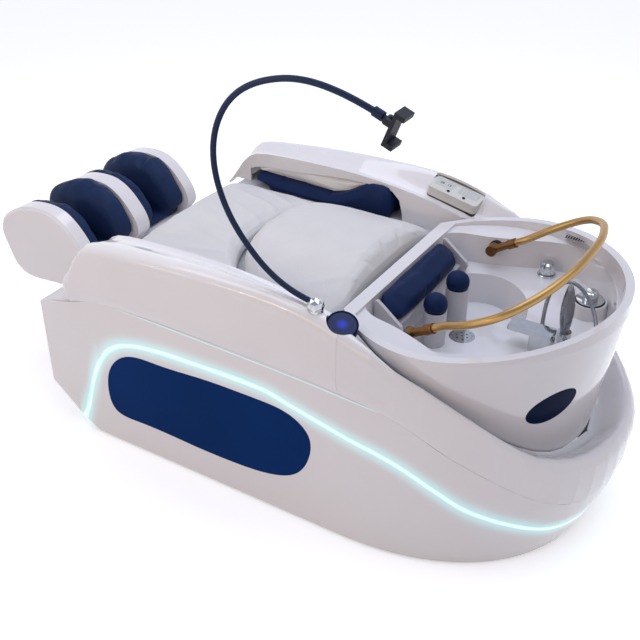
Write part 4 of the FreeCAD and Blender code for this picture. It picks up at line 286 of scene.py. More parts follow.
FINISH = {
    "gloss_shell": finish_named("polished_gelcoat", gelcoat),
    "light_strip": finish_named("opal_light_strip", light_strip),
    "dark_window": finish_named("navy_cast_acrylic", dark_acrylic("#02265a", "#07336f")),
    "basin_glaze": finish_named("glazed_basin", glazed_bowl),
    "white_leather": finish_named("white_leather", leather("#c9c8c7", "#d2d1d0", 0.35, 0.4)),
    "navy_leather": finish_named("navy_leather", leather("#0b1c40", "#12264e", 0.5, 0.14)),
    "frame_paint": finish_named("powder_coated_steel", moulded("#242427", "#2e2e31", (0.45, 0.6), 3)),
    "deck_board": finish_named("grey_moulded_board", moulded("#b4b5b8", "#c0c1c4", (0.5, 0.65), 10)),
    "foot_rubber": finish_named("black_rubber", moulded("#101011", "#1b1b1d", (0.7, 0.85), 4)),
    "bright_rod": finish_named("ground_steel", metal("#b6b8bc", "#c8cacd", (0.12, 0.22), (0.1, 6, 6))),
    "chrome": finish_named(
        "polished_chrome", metal("#bfc1c4", "#d4d6d8", (0.03, 0.07), (1, 1, 1), 20, 0.01)),
    "gold_brass": finish_named(
        "brushed_gold_brass", metal("#ab8851", "#c4a069", (0.28, 0.42), (1, 1, 5), 7, 0.03)),
    "bronze": finish_named("aged_bronze", metal("#6f4b2c", "#8f6a42", (0.32, 0.5), (1, 1, 1), 9, 0.06)),
    "black_plastic": finish_named(
        "black_moulded_nylon", moulded("#070b14", "#0d1320", (0.35, 0.5), 5, 0.08, 0.3)),
    "pale_plastic": finish_named("pale_moulded_plastic", moulded("#b4b3b7", "#bfbec2", (0.3, 0.42), 6)),
    "panel_grey": finish_named("grey_moulded_bezel", moulded("#c6c6c0", "#cfcfc9", (0.32, 0.45), 5)),
    "screen_glass": finish_named("display_glass", moulded("#b9bdb8", "#c4c8c2", (0.08, 0.14), 40, 0.01)),
    "keypad_film": finish_named("printed_key_film", moulded("#b4b6b6", "#bfc1c0", (0.4, 0.5), 3, 0.04)),
    "touch_glass": finish_named("lit_touch_glass", touch_face),
    "flex_metal": finish_named(
        "satin_wound_steel", metal("#86888e", "#9b9da3", (0.2, 0.32), (1, 1, 4), 5, 0.05)),
    "gooseneck": finish_named(
        "navy_braided_sleeve", moulded("#081a36", "#0e2344", (0.5, 0.65), 3, 0.3, 0.25)),
    "drain_pvc": finish_named("grey_pipe", moulded("#55565a", "#606166", (0.35, 0.5), 8)),
    "pump_steel": finish_named("drawn_steel", metal("#9a9da1", "#b3b6ba", (0.25, 0.4), (5, 1, 1))),
    "tray_steel": finish_named(
        "zinc_coated_sheet", metal("#8d9094", "#aeb1b5", (0.35, 0.55), (1, 1, 1), 30)),
}
# The shells' gelcoat with the light strip's light painted on it as a glow.
LIT_GELCOAT = finish_named("polished_gelcoat_by_light_strip", lit_gelcoat)
# Navy leather painted paler on the calf pads: painted light against the shade that falls in the leg rest's
# troughs.
CALF_LEATHER_PAINTED_PALER = finish_named("navy_leather_on_air_pads", leather("#182848", "#203156", 0.5, 0.14))
# White leather painted paler on the upper arm pads: painted light against the shade under the band over them.
PAD_LEATHER_PAINTED_PALER = finish_named("pale_leather_on_air_pads", leather("#e8e8e7", "#efefee", 0.35, 0.4))
PORTHOLE_ACRYLIC = finish_named("smoked_cast_acrylic", dark_acrylic("#07142f", "#0c1f42"))


def dress_nodes():
    """Gives each construction node the finish of its own slot."""
    for name, node in NODES.items():
        node.material_slots[0].material = FINISH[SLOT_OF[name]]
    # The shells take the gelcoat with the strip's light painted on as a glow.
    for name in ("upper_shell", "lower_shell"):
        NODES[name].material_slots[0].material = LIT_GELCOAT
    NODES["portholes"].material_slots[0].material = PORTHOLE_ACRYLIC
    NODES["touch_ring"].material_slots[0].material = PORTHOLE_ACRYLIC


def make_camera():
    """The camera of the photograph."""
    lens = bpy.data.cameras.new("camera")
    lens.lens = CAMERA_LENS
    camera = bpy.data.objects.new("camera", lens)
    azimuth, elevation = math.radians(CAMERA_AZIMUTH), math.radians(CAMERA_ELEVATION)
    back = Vector((math.sin(azimuth) * math.cos(elevation), -math.cos(azimuth) * math.cos(elevation),
                   math.sin(elevation)))
    camera.location = CAMERA_PLACE
    camera.rotation_mode = "QUATERNION"
    camera.rotation_quaternion = (-back).to_track_quat("-Z", "Y")
    bpy.context.scene.collection.objects.link(camera)
    bpy.context.scene.camera = camera


# Lamps: name, place, aim, size, power in watts and tint. The light is cool from above and warm from the low
# near side; a thin lamp draws a streak on the near armrest, and a small one reaches in under the far band.
LAMPS = (
    ("roof_lamp", (0.2, 0.6, 3.4), (0.1, 0, 0.5), (3.2, 2.4), 47, "#eaeffd"),
    ("near_lamp", (-0.6, -3.6, 1.7), (0, 0, 0.4), (2.6, 0.7), 13, "#ffc98f"),
    ("strip_lamp", (-1.3, -2.8, 1.3), (-0.35, -0.48, 0.65), (1.7, 0.02), 4, "#ffffff"),
    ("seat_lamp", (-0.35, -0.7, 1.5), (-0.2, 0.4, 0.66), (0.9, 0.4), 2, "#fff6ee"),
    ("head_lamp", (3.6, 0.6, 2.0), (0.6, 0, 0.5), (1.6, 1.2), 3.5, "#ffe6c8"),
)


def soft_lamp(name, place, aim, size, power, tint):
    """A flat lamp that faces the place it is aimed at."""
    lamp = bpy.data.lights.new(name, "AREA")
    lamp.shape = "RECTANGLE"
    lamp.size, lamp.size_y = size
    lamp.energy = power
    lamp.color = linear(tint)[:3]
    holder = bpy.data.objects.new(name, lamp)
    holder.location = place
    holder.rotation_mode = "QUATERNION"
    holder.rotation_quaternion = (Vector(aim) - Vector(place)).to_track_quat("-Z", "Y")
    bpy.context.scene.collection.objects.link(holder)


def seen_rays(tree):
    """1 for what the camera sees, straight, in a gloss or through glass, and 0 for light on the object."""
    path = add(tree, "LightPath")
    seen = add(tree, "Math", {0: path["Is Camera Ray"], 1: path["Is Glossy Ray"]}, operation="MAXIMUM")[0]
    return add(tree, "Math", {0: seen, 1: path["Is Transmission Ray"]}, operation="MAXIMUM")[0]


def plain_floor(tree):
    """Matt white floor, lifted to a white ground where it is seen. It keeps the object's shadow."""
    return add(tree, "BsdfPrincipled", {
        "Base Color": linear("#f4f4f5"), "Roughness": 0.9, "Specular IOR Level": 0.1,
        "Emission Color": linear("#ffffff"),
        "Emission Strength": ranged(tree, seen_rays(tree), 0.0, 0.42)})[0]


def pale_surround(tree):
    """The surround: white at the horizon and a cool, darker sky, dimmer where it only lights the object."""
    sky = add(tree, "SeparateXYZ", {"Vector": add(tree, "TexCoord")["Generated"]})["Z"]
    rise = add(tree, "MapRange", {"Value": sky, "From Min": 0.05, "From Max": 0.8},
               interpolation_type="SMOOTHSTEP")[0]
    lit = add(tree, "Background", {"Color": mixed(tree, rise, linear("#f4dfc8"), linear("#e2e8fd")),
                                   "Strength": ranged(tree, rise, 0.42, 0.78)})[0]
    shown = add(tree, "Background", {"Color": mixed(tree, rise, linear("#ffffff"), linear("#cdd8f6")),
                                     "Strength": ranged(tree, rise, 1.0, 0.62)})[0]
    add(tree, "OutputWorld", {"Surface": add(tree, "MixShader", {0: seen_rays(tree), 1: lit, 2: shown})[0]})


FLOOR_SIZE = 60


def make_room():
    """A pale floor, a white surround and the lamps."""
    bpy.ops.mesh.primitive_plane_add(size=FLOOR_SIZE)
    floor = bpy.context.object
    floor.name = "floor"
    floor.data.materials.append(finish_named("plain_floor", plain_floor))
    world = bpy.data.worlds.new("surround")
    bpy.context.scene.world = world
    world.use_nodes = True
    world.node_tree.nodes.clear()
    pale_surround(world.node_tree)
    for lamp in LAMPS:
        soft_lamp(*lamp)
    bpy.context.scene.view_settings.view_transform = "Standard"


def show(name, mesh, finish, body, slot, *replaced):
    """Puts a finished mesh in the scene as a piece that rides on a body."""
    piece = bpy.data.objects.new(name, mesh)
    bpy.context.scene.collection.objects.link(piece)
    mesh.materials.clear()
    mesh.materials.append(finish)
    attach(piece, body)
    if replaced:
        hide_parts(*replaced)
    return piece


# Vertices of a node that lie this close, in mm, are one.
MERGE_DISTANCE = 0.01


def solids_of(name):
    """The separate solids of a node as merged meshes, sorted from the near side to the far side."""
    shape = bmesh.new()
    shape.from_mesh(NODES[name].data)
    bmesh.ops.remove_doubles(shape, verts=shape.verts, dist=MERGE_DISTANCE * MM)
    left = dict.fromkeys(shape.verts)
    found = []
    while left:
        edge_of = [left.popitem()[0]]
        order = {edge_of[0]: 0}
        while edge_of:
            spot = edge_of.pop()
            for edge in spot.link_edges:
                other = edge.other_vert(spot)
                if other in left:
                    del left[other]
                    order[other] = len(order)
                    edge_of.append(other)
        faces = [[order[v] for v in face.verts] for face in shape.faces if face.verts[0] in order]
        mesh = bpy.data.meshes.new(name)
        mesh.from_pydata([spot.co[:] for spot in order], [], faces)
        found.append(mesh)
    shape.free()
    return sorted(found, key=lambda mesh: sum(v.co.y for v in mesh.vertices) / len(mesh.vertices))


def points_of(mesh):
    """The places of a mesh's vertices, one row for each."""
    flat = np.empty(len(mesh.vertices) * 3)
    mesh.vertices.foreach_get("co", flat)
    return flat.reshape(-1, 3)


def normals_of(mesh):
    """The normals at a mesh's vertices, one row for each."""
    flat = np.empty(len(mesh.vertices) * 3)
    mesh.vertex_normals.foreach_get("vector", flat)
    return flat.reshape(-1, 3)


def set_points(mesh, points):
    """Moves a mesh's vertices to the places in the rows."""
    mesh.vertices.foreach_set("co", points.astype(np.float32).ravel())
    mesh.update()


def settled(piece):
    """The mesh of an object with its modifiers carried out."""
    depsgraph = bpy.context.evaluated_depsgraph_get()
    depsgraph.update()
    return bpy.data.meshes.new_from_object(piece.evaluated_get(depsgraph))


def growth(name, sizes):
    """An empty Geometry Nodes tree with named inputs for its sizes."""
    tree = bpy.data.node_groups.new(name, "GeometryNodeTree")
    tree.interface.new_socket("Geometry", in_out="OUTPUT", socket_type="NodeSocketGeometry")
    tree.interface.new_socket("Line", in_out="INPUT", socket_type="NodeSocketGeometry")
    for size in sizes:
        tree.interface.new_socket(size, in_out="INPUT", socket_type="NodeSocketFloat")
    tree.interface.new_socket("Finish", in_out="INPUT", socket_type="NodeSocketMaterial")
    return tree, add(tree, "NodeGroupInput")


def close_growth(tree, given, shape):
    """The end of every tree: real geometry, smooth, in its finish."""
    real = add(tree, "GeometryNodeRealizeInstances", {"Geometry": shape})[0]
    smooth = add(tree, "GeometryNodeSetShadeSmooth", {"Geometry": real})[0]
    dressed = add(tree, "GeometryNodeSetMaterial", {"Geometry": smooth, "Material": given["Finish"]})[0]
    add(tree, "NodeGroupOutput", {"Geometry": dressed})
    return tree


def corrugated_tube():
    """A wound steel hose: a tube along a line whose skin rises and falls with every turn of the winding."""
    tree, given = growth("corrugated_tube", ("Radius", "Rib Pitch", "Rib Height", "Step"))
    line = add(tree, "GeometryNodeResampleCurve", {"Curve": given["Line"], "Length": given["Step"]},
               mode="LENGTH")[0]
    gone = add(tree, "GeometryNodeSplineParameter")["Length"]
    turn = add(tree, "Math", {0: gone, 1: given["Rib Pitch"]}, operation="DIVIDE")[0]
    wave = add(tree, "Math", {0: turn, 1: 2 * math.pi}, operation="MULTIPLY")[0]
    wave = add(tree, "Math", {0: wave}, operation="COSINE")[0]
    wide = add(tree, "Math", {0: wave, 1: given["Rib Height"], 2: given["Radius"]},
               operation="MULTIPLY_ADD")[0]
    ring = add(tree, "GeometryNodeCurvePrimitiveCircle", {"Resolution": 14, "Radius": 1.0})[0]
    tube = add(tree, "GeometryNodeCurveToMesh", {
        "Curve": line, "Profile Curve": ring, "Scale": wide, "Fill Caps": True})[0]
    return close_growth(tree, given, tube)


def stitch_row():
    """A row of thread stitches along a seam: small rounded grains, a step apart, each along the line."""
    tree, given = growth("stitch_row", ("Spacing", "Stitch Length", "Thread"))
    spots = add(tree, "GeometryNodeCurveToPoints", {"Curve": given["Line"], "Length": given["Spacing"]},
                mode="LENGTH")
    grain = add(tree, "GeometryNodeMeshUVSphere", {"Segments": 6, "Rings": 5, "Radius": 0.5})["Mesh"]
    thread = given["Thread"]
    size = add(tree, "CombineXYZ", {"X": thread, "Y": thread, "Z": given["Stitch Length"]})[0]
    row = add(tree, "GeometryNodeInstanceOnPoints", {
        "Points": spots["Points"], "Instance": grain, "Rotation": spots["Rotation"], "Scale": size})[0]
    return close_growth(tree, given, row)


def key_grid():
    """Raised keys on a grid: a block on each point of a plate, in rows and columns."""
    tree, given = growth("key_grid", ("Key Length", "Key Width", "Key Height"))
    block = add(tree, "GeometryNodeMeshCube")["Mesh"]
    size = add(tree, "CombineXYZ", {
        "X": given["Key Length"], "Y": given["Key Width"], "Z": given["Key Height"]})[0]
    keys = add(tree, "GeometryNodeInstanceOnPoints", {
        "Points": given["Line"], "Instance": block, "Scale": size})[0]
    real = add(tree, "GeometryNodeRealizeInstances", {"Geometry": keys})[0]
    dressed = add(tree, "GeometryNodeSetMaterial", {"Geometry": real, "Material": given["Finish"]})[0]
    add(tree, "NodeGroupOutput", {"Geometry": dressed})
    return tree


def grown(data, tree, finish, **sizes):
    """The plain mesh that a tree grows on a line or plate. Sizes are in mm."""
    seed = bpy.data.objects.new("seed_line", data)
    bpy.context.scene.collection.objects.link(seed)
    growing = seed.modifiers.new("growth", "NODES")
    growing.node_group = tree
    for item in tree.interface.items_tree:
        if item.in_out == "INPUT" and item.name == "Finish":
            growing[item.identifier] = finish
        elif item.in_out == "INPUT" and item.name.replace(" ", "_") in sizes:
            growing[item.identifier] = sizes[item.name.replace(" ", "_")] * MM
    mesh = settled(seed)
    bpy.data.objects.remove(seed)
    return mesh


def line_through(name, places, closed=False, smooth=True):
    """A curve with no thickness: a NURBS line whose control points are the places, in mm."""
    curve = bpy.data.curves.new(name, "CURVE")
    curve.dimensions = "3D"
    line = curve.splines.new("NURBS" if smooth else "POLY")
    line.points.add(len(places) - 1)
    for spot, place in zip(line.points, places):
        spot.co = (*[v * MM for v in place], 1.0)
    line.use_cyclic_u = closed
    if smooth:
        line.order_u = 3
        line.use_endpoint_u = not closed
        line.resolution_u = 12
    return curve


def path_of(curve):
    """The points that a curve follows."""
    holder = bpy.data.objects.new("path_line", curve)
    bpy.context.scene.collection.objects.link(holder)
    track = [vertex.co.copy() for vertex in settled(holder).vertices]
    bpy.data.objects.remove(holder)
    return track


def make_hose():
    """The shower hose: one smooth line from the dock's nipple to the outlet, with its winding."""
    route = line_through("hose_route", HOSE_ROUTE)
    track = path_of(route)
    mesh = grown(route, corrugated_tube(), FINISH["flex_metal"], Radius=HOSE_DIAMETER / 2 - HOSE_RIB_INSET,
                 Rib_Pitch=HOSE_RIB_PITCH, Rib_Height=HOSE_RIB_HEIGHT, Step=HOSE_STEP)
    hose = show("hose_tube", mesh, FINISH["flex_metal"], "root", "flex_metal", "shower_hose")
    [tuple(spot) for spot in track]


def eased(share):
    """A share kept between 0 and 1 that starts and ends softly."""
    share = np.clip(share, 0, 1)
    return share * share * (3 - 2 * share)


def hump(share):
    """1 in the middle of a span and 0 at its ends, for shares from 0 to 1."""
    return np.sin(np.pi * np.clip(share, 0, 1))


def bent(mesh, rule):
    """Moves the points of a mesh by a rule that takes and gives places in mm."""
    set_points(mesh, np.column_stack(rule(*(points_of(mesh).T / MM))) * MM)


# Filling of each soft piece, in mm: the grid of its skin, how far it is drawn in first, and how far it may
# swell as cloth.
CUSHION_FILLING = (6, 4, 9)
ARM_PAD_FILLING = (5, 3, 7)
CALF_PAD_FILLING = (6, 3, 9)
PILLOW_FILLING = (5, 2, 6)
BALL_FILLING = (4, 1, 2)
FILLING_PRESSURE, FILLING_FRAMES = 4.0, 20


def stuffed(name, mesh, filling, rule=None):
    """A stuffed form: the solid, shaped by a rule and drawn in, is blown up as cloth."""
    voxel, shrink, swell = filling
    piece = bpy.data.objects.new(name + "_form", mesh)
    bpy.context.scene.collection.objects.link(piece)
    remesh = piece.modifiers.new("even", "REMESH")
    remesh.mode = "VOXEL"
    remesh.voxel_size = voxel * MM
    piece.data = settled(piece)
    piece.modifiers.clear()
    if rule:
        bent(piece.data, rule)
    start = points_of(piece.data) - normals_of(piece.data) * shrink * MM
    set_points(piece.data, start)
    cloth = piece.modifiers.new("filling", "CLOTH")
    cloth.settings.use_pressure = True
    cloth.settings.uniform_pressure_force = FILLING_PRESSURE
    cloth.settings.effector_weights.gravity = 0
    for step in range(1, FILLING_FRAMES + 1):
        bpy.context.scene.frame_set(step)
    moved = points_of(settled(piece)) - start
    piece.modifiers.clear()
    bpy.context.scene.frame_set(1)
    reach = np.linalg.norm(moved, axis=1, keepdims=True)
    start = start + moved * np.minimum(1.0, swell * MM / np.maximum(reach, 1e-9))
    set_points(piece.data, start)
    smooth = piece.modifiers.new("round", "SUBSURF")
    smooth.levels = smooth.render_levels = 1
    done = settled(piece)
    bpy.data.objects.remove(piece)
    for face in done.polygons:
        face.use_smooth = True
    done.name = name
    return done


def folded(mesh, folds, facing=0.35):
    """Presses soft folds into the upper side: each runs from one place to another, in mm."""
    points, normals = points_of(mesh), normals_of(mesh)
    flat = points[:, :2] / MM
    lift = np.zeros(len(points))
    for (x0, y0), (x1, y1), height, width in folds:
        start, run = np.array((x0, y0)), np.array((x1 - x0, y1 - y0))
        share = np.clip((flat - start) @ run / (run @ run), 0, 1)
        off = np.linalg.norm(flat - start - share[:, None] * run, axis=1)
        lift += height * np.exp(-(off / width) ** 2) * np.sin(np.pi * np.clip(share, 0.02, 0.98)) ** 0.6
    top = np.clip((normals[:, 2] - facing) / (1 - facing), 0, 1)
    set_points(mesh, points + np.outer(lift * top * MM, (0, 0, 1)))


RUMPLE_WAVES = 9


def rumpled(mesh, size, height, seed):
    """Uneven surface of filled leather: a few sine waves in fixed directions, no larger than height mm."""
    draw = np.random.default_rng(seed)
    points, normals = points_of(mesh), normals_of(mesh)
    wave = np.zeros(len(points))
    for _ in range(RUMPLE_WAVES):
        heading = draw.normal(size=3)
        heading /= np.linalg.norm(heading)
        pitch = size * MM * draw.uniform(0.6, 1.7)
        wave += np.sin(points @ heading * 2 * math.pi / pitch + draw.uniform(0, 6.28))
    set_points(mesh, points + normals * (wave / RUMPLE_WAVES * height * MM)[:, None])


def seamed(mesh, level, depth=1.6, width=3.0):
    """Draws a seam in all round the sides at one level."""
    points, normals = points_of(mesh), normals_of(mesh)
    near = np.exp(-((points[:, 2] - level) / (width * MM)) ** 2) * (1 - np.abs(normals[:, 2]))
    set_points(mesh, points - normals * (near * depth * MM)[:, None])


# Soft folds of the covers: from one place to another in mm, with a height and a width in mm.
SEAT_FOLDS = (
    ((-470, -90), (-150, -165), 5.0, 13), ((-440, 10), (-150, -110), 4.2, 12),
    ((-455, 110), (-160, 10), 5.2, 13), ((-420, 190), (-150, 90), 4.6, 12),
    ((-380, 262), (-130, 150), 4.2, 11), ((-300, 292), (-100, 205), 3.6, 10),
    ((-320, -230), (-140, -190), 3.6, 12), ((-460, -200), (-330, -180), 3.0, 12),
)
BACK_FOLDS = (
    ((-100, 150), (60, 235), 3.0, 14), ((-150, 20), (0, 95), 2.4, 16), ((170, 225), (262, 130), 3.2, 12),
    ((190, 150), (270, 60), 2.6, 12), ((200, -110), (272, -30), 2.4, 12), ((150, -240), (262, -170), 2.8, 12),
    ((-90, -220), (20, -150), 2.6, 14),
)
SEAT_FOOT, FOLD, BACK_HEAD = -496, -172, 290
CUSHION_HALF, DECK = 322, 590
FOLD_CURVE = 150
CUSHION_SIDE_FALL_SHARE = 0.86
CUSHION_RUMPLE = 2.2
# Height of the cushions' seam over the deck, and the stitches along it, in mm.
SEAM_HEIGHT, SEAM_BAND, SEAM_TURNS, STITCH_DEPTH = 7, 3, 90, 0.6
STITCH_SPACING, STITCH_LENGTH, STITCH_THREAD = 5.5, 3.6, 1.0


def fold_line(y):
    """Where the seat meets the back: the back's foot edge is an arc that runs back towards its sides."""
    return FOLD + FOLD_CURVE * np.abs(y / CUSHION_HALF) ** 2.2


def seat_form(x, y, z):
    """The seat fills the room up to the back's curved edge and falls off to its sides."""
    reach = (fold_line(y) - SEAT_FOOT) / (FOLD - SEAT_FOOT)
    side = np.abs(y / CUSHION_HALF) ** 3.2
    return SEAT_FOOT + (x - SEAT_FOOT) * reach, y, DECK + (z - DECK) * (1 - CUSHION_SIDE_FALL_SHARE * side)


def back_form(x, y, z):
    """The back is one wide crown with an arc for its foot edge and low sides."""
    reach = (BACK_HEAD - fold_line(y)) / (BACK_HEAD - FOLD)
    side = np.abs(y / CUSHION_HALF) ** 2.4
    return BACK_HEAD - (BACK_HEAD - x) * reach, y, DECK + (z - DECK) * (1 - CUSHION_SIDE_FALL_SHARE * side)


def seam_round(mesh, level, band, count, lift):
    """The line of a seam: the outermost places of a mesh near a level, in even turns about its middle."""
    points = points_of(mesh) / MM
    near = points[np.abs(points[:, 2] - level) < band]
    middle = (near.min(axis=0) + near.max(axis=0)) / 2
    off = near - middle
    turn = np.arctan2(off[:, 1], off[:, 0])
    reach = np.hypot(off[:, 0], off[:, 1])
    line = []
    for step in range(count):
        way = -math.pi + (step + 0.5) * 2 * math.pi / count
        window = np.abs(np.angle(np.exp(1j * (turn - way)))) < math.pi / count
        if window.any():
            far = reach[window].max() + lift
            line.append((middle[0] + far * math.cos(way), middle[1] + far * math.sin(way), level))
    return line


def stitched(name, line, tree, finish, body, slot):
    """A row of stitches along a closed seam."""
    mesh = grown(line_through(name + "_line", line, closed=True), tree, finish, Spacing=STITCH_SPACING,
                 Stitch_Length=STITCH_LENGTH, Thread=STITCH_THREAD)
    show(name, mesh, finish, body, slot)


def make_cushions():
    """Seat and back: foam under one leather cover, with pulled folds fanning out of the bend."""
    tree = stitch_row()
    for title, rule, folds, size, seed, fill in (
            ("seat_cushion", seat_form, SEAT_FOLDS, 190, 3, 0.75),
            ("back_cushion", back_form, BACK_FOLDS, 240, 5, 0.85)):
        cover = stuffed(title + "_cover", solids_of(title)[0], CUSHION_FILLING, rule)
        folded(cover, folds)
        rumpled(cover, size, CUSHION_RUMPLE, seed)
        seam = DECK + SEAM_HEIGHT
        seamed(cover, seam * MM)
        line = seam_round(cover, seam, SEAM_BAND, SEAM_TURNS, -STITCH_DEPTH)
        stitched(title + "_stitches", line, tree, FINISH["white_leather"], "root", "white_leather")
        piece = show(title + "_cover", cover, FINISH["white_leather"], "root", "white_leather", title)


# The line between the two pads of an armrest, as the height in mm at each place along the bed: the pale
# pad's lower edge sags to a point, and the navy pad rises behind its head end.
PAD_LINE = ((-452, 636), (-340, 625), (-137, 621), (-80, 641), (-20, 676), (20, 696), (70, 702), (118, 694))
PALE_PAD_HEAD, NAVY_PAD_HEAD, PAD_FOOT = 12, 98, -450
PAD_HEAD, PAD_TOP, LOW_PAD_TOP, HIGH_PAD_FOOT = 118, 690, 640, 654
# The navy pad's foot end steps back under its lip, and both pads bulge towards the seat.
LIP_STEP, LIP_REACH, NAVY_BULGE = 62, 190, 12
PALE_BULGE, PALE_END_DROP, PALE_END, PALE_END_REACH, PAD_PARTING = 14, 34, -330, 120, 1.5
PAD_GRAIN, PAD_RUMPLE = 120, 2.0


def pad_line(x):
    """The height of the line between the pads."""
    return np.interp(x, *zip(*PAD_LINE))


def navy_pad_form(x, y, z):
    """The lower pad: a step in its foot end, a top that follows the line, and an inner side that bulges."""
    along = (x - PAD_FOOT) / (PAD_HEAD - PAD_FOOT)
    x = PAD_FOOT + along * (NAVY_PAD_HEAD - PAD_FOOT)
    rise = (z - DECK) / (LOW_PAD_TOP - DECK)
    x = x + LIP_STEP * eased((0.62 - rise) / 0.2) * eased((PAD_FOOT + LIP_REACH - x) / LIP_REACH)
    z = DECK + rise * (pad_line(x) - DECK)
    inward = NAVY_BULGE * hump(along * 0.9 + 0.05) * hump(rise * 0.8 + 0.1) * eased((400 - np.abs(y)) / 70)
    return x, y - np.sign(y) * inward, z


def pale_pad_form(x, y, z):
    """The upper pad: shorter than the band over it, with a lower edge that sags to a point."""
    x = PAD_FOOT + (x - PAD_FOOT) * (PALE_PAD_HEAD - PAD_FOOT) / (PAD_HEAD - PAD_FOOT)
    rise = (z - HIGH_PAD_FOOT) / (PAD_TOP - HIGH_PAD_FOOT)
    foot = pad_line(x) + PAD_PARTING
    top = np.maximum(PAD_TOP - PALE_END_DROP * eased((PALE_END - x) / PALE_END_REACH), foot + 5)
    inward = PALE_BULGE * hump(rise * 0.7 + 0.15) * eased((430 - np.abs(y)) / 60)
    return x, y - np.sign(y) * inward, foot + rise * (top - foot)


def make_arm_pads():
    """Air-filled pads that hold the arm: a pale one under the band over a navy one on the ledge."""
    for node, slot, title, rule, finish in (
            # The upper pads take the white leather painted paler, as painted light in the shade under the
            # band.
            ("arm_pads_upper", "white_leather", "upper_arm_pad", pale_pad_form, PAD_LEATHER_PAINTED_PALER),
            ("arm_pads_lower", "navy_leather", "lower_arm_pad", navy_pad_form, FINISH["navy_leather"])):
        for side, solid in zip(("near", "far"), solids_of(node)):
            name = f"{title}_{side}"
            mesh = stuffed(name, solid, ARM_PAD_FILLING, rule)
            rumpled(mesh, PAD_GRAIN, PAD_RUMPLE, len(name))
            piece = show(name, mesh, finish, "root", slot, node)


TROUGH_MIDDLE, TROUGH_HALF = 138, 107
CALF_FOOT, CALF_HEAD, CALF_LOW, CALF_TOP = -1040, -683, 452, 657
# How far the calf pads stand out from the wall behind them and from the other, and over the walls, in mm.
CALF_BULGE, CALF_NEAR_BULGE, CALF_RISE, CALF_NEAR_RISE, CALF_OVERHANG = 44, 12, 12, 5, 6
CALF_GRAIN, CALF_RUMPLE, CALF_SEED = 95, 3.4, 7


def calf_form(x, y, z):
    """Calf pads stand proud of the walls, fat in the middle of each wall, with a lumpy top."""
    off = (np.abs(y) - TROUGH_MIDDLE) * np.sign(y)
    along = (x - CALF_FOOT) / (CALF_HEAD - CALF_FOOT)
    rise = (z - CALF_LOW) / (CALF_TOP - CALF_LOW)
    far_side = eased(off / 40)
    near_side = eased(-off / 40)
    free = eased((TROUGH_HALF - 3 - np.abs(off)) / 26)
    fat = hump(along * 0.7 + 0.15) * hump(rise * 0.8 + 0.12)
    lumps = 2.6 * np.sin(x / 21.0 + 0.8 * np.sin(y / 31.0)) + 1.4 * np.sin(x / 11.5 + 1.3)
    lift = CALF_RISE * far_side + CALF_NEAR_RISE * near_side + lumps * far_side
    z = z + eased((rise - 0.45) / 0.5) * lift
    x = x - CALF_OVERHANG * far_side * eased((0.35 - along) / 0.35) * rise
    return x, y + (CALF_NEAR_BULGE * near_side - CALF_BULGE * far_side) * fat * free, z


def make_calf_pads():
    """Air-filled pads that line each trough of the leg rest."""
    for side, solid in zip(("near", "far"), solids_of("leg_rest_pads")):
        name = f"calf_pad_{side}"
        mesh = stuffed(name, solid, CALF_PAD_FILLING, calf_form)
        rumpled(mesh, CALF_GRAIN, CALF_RUMPLE, CALF_SEED)
        # The calf pads take the navy leather painted paler, as painted light in the shaded troughs.
        piece = show(name, mesh, CALF_LEATHER_PAINTED_PALER, "leg_rest", "navy_leather", "leg_rest_pads")


PILLOW_MIDDLE, PILLOW_HALF = (380, 617), 204
PILLOW_GRAIN, PILLOW_RUMPLE, PILLOW_SEED = 90, 1.6, 11
BALL_SEAM_DEPTH, BALL_SEAM_WIDTH = 1.2, 2.0


def pillow_form(x, y, z):
    """The neck pillow is a full roll, thickest in the middle and rounded off at its ends."""
    share = np.clip(np.abs(y) / PILLOW_HALF, 0, 1)
    fat = (1.34 - 0.34 * share ** 2) * (1 - 0.42 * eased((share - 0.86) / 0.14))
    across, up = PILLOW_MIDDLE
    return across + (x - across) * fat, y, up + (z - up) * fat


def make_neck_rest():
    """A moulded neck pillow and two soft balls that carry the head."""
    pillow = stuffed("neck_pillow_cover", solids_of("neck_pillow")[0], PILLOW_FILLING, pillow_form)
    rumpled(pillow, PILLOW_GRAIN, PILLOW_RUMPLE, PILLOW_SEED)
    piece = show("neck_pillow_cover", pillow, FINISH["navy_leather"], "root", "navy_leather", "neck_pillow")
    for side, solid in zip(("near", "far"), solids_of("head_support_balls")):
        name = f"head_ball_{side}"
        mesh = stuffed(name, solid, BALL_FILLING)
        low, high = points_of(mesh)[:, 2].min(), points_of(mesh)[:, 2].max()
        seamed(mesh, (low + high) / 2, BALL_SEAM_DEPTH, BALL_SEAM_WIDTH)
        piece = show(name, mesh, FINISH["navy_leather"], "root", "navy_leather", "head_support_balls")


# Foot ends of the armrests: how far each soft nose stands out, in mm.
ARM_NOSES = {"near": 26, "far": 9}
NOSE_STEPS = 8
NOSE_SHARP_ANGLE = 50


def end_outline(node):
    """The outer outline of the flat foot end of a node, in order, as places in the shape's own units."""
    shape = bmesh.new()
    shape.from_mesh(NODES[node].data)
    bmesh.ops.remove_doubles(shape, verts=shape.verts, dist=MERGE_DISTANCE * MM)
    low = min(vertex.co.x for vertex in shape.verts) + 0.5 * MM
    end = {face for face in shape.faces if max(vertex.co.x for vertex in face.verts) < low}
    rim = [edge for edge in shape.edges if sum(face in end for face in edge.link_faces) == 1]
    beside = {}
    for edge in rim:
        for vertex in edge.verts:
            beside.setdefault(vertex, []).append(edge.other_vert(vertex))
    outlines = []
    left = dict.fromkeys(beside)
    while left:
        line = [left.popitem()[0]]
        while True:
            ahead = [vertex for vertex in beside[line[-1]] if vertex in left]
            if not ahead:
                break
            del left[ahead[0]]
            line.append(ahead[0])
        outlines.append([vertex.co.copy() for vertex in line])
    shape.free()
    return max(outlines, key=lambda line: max(spot.z for spot in line) - min(spot.z for spot in line))


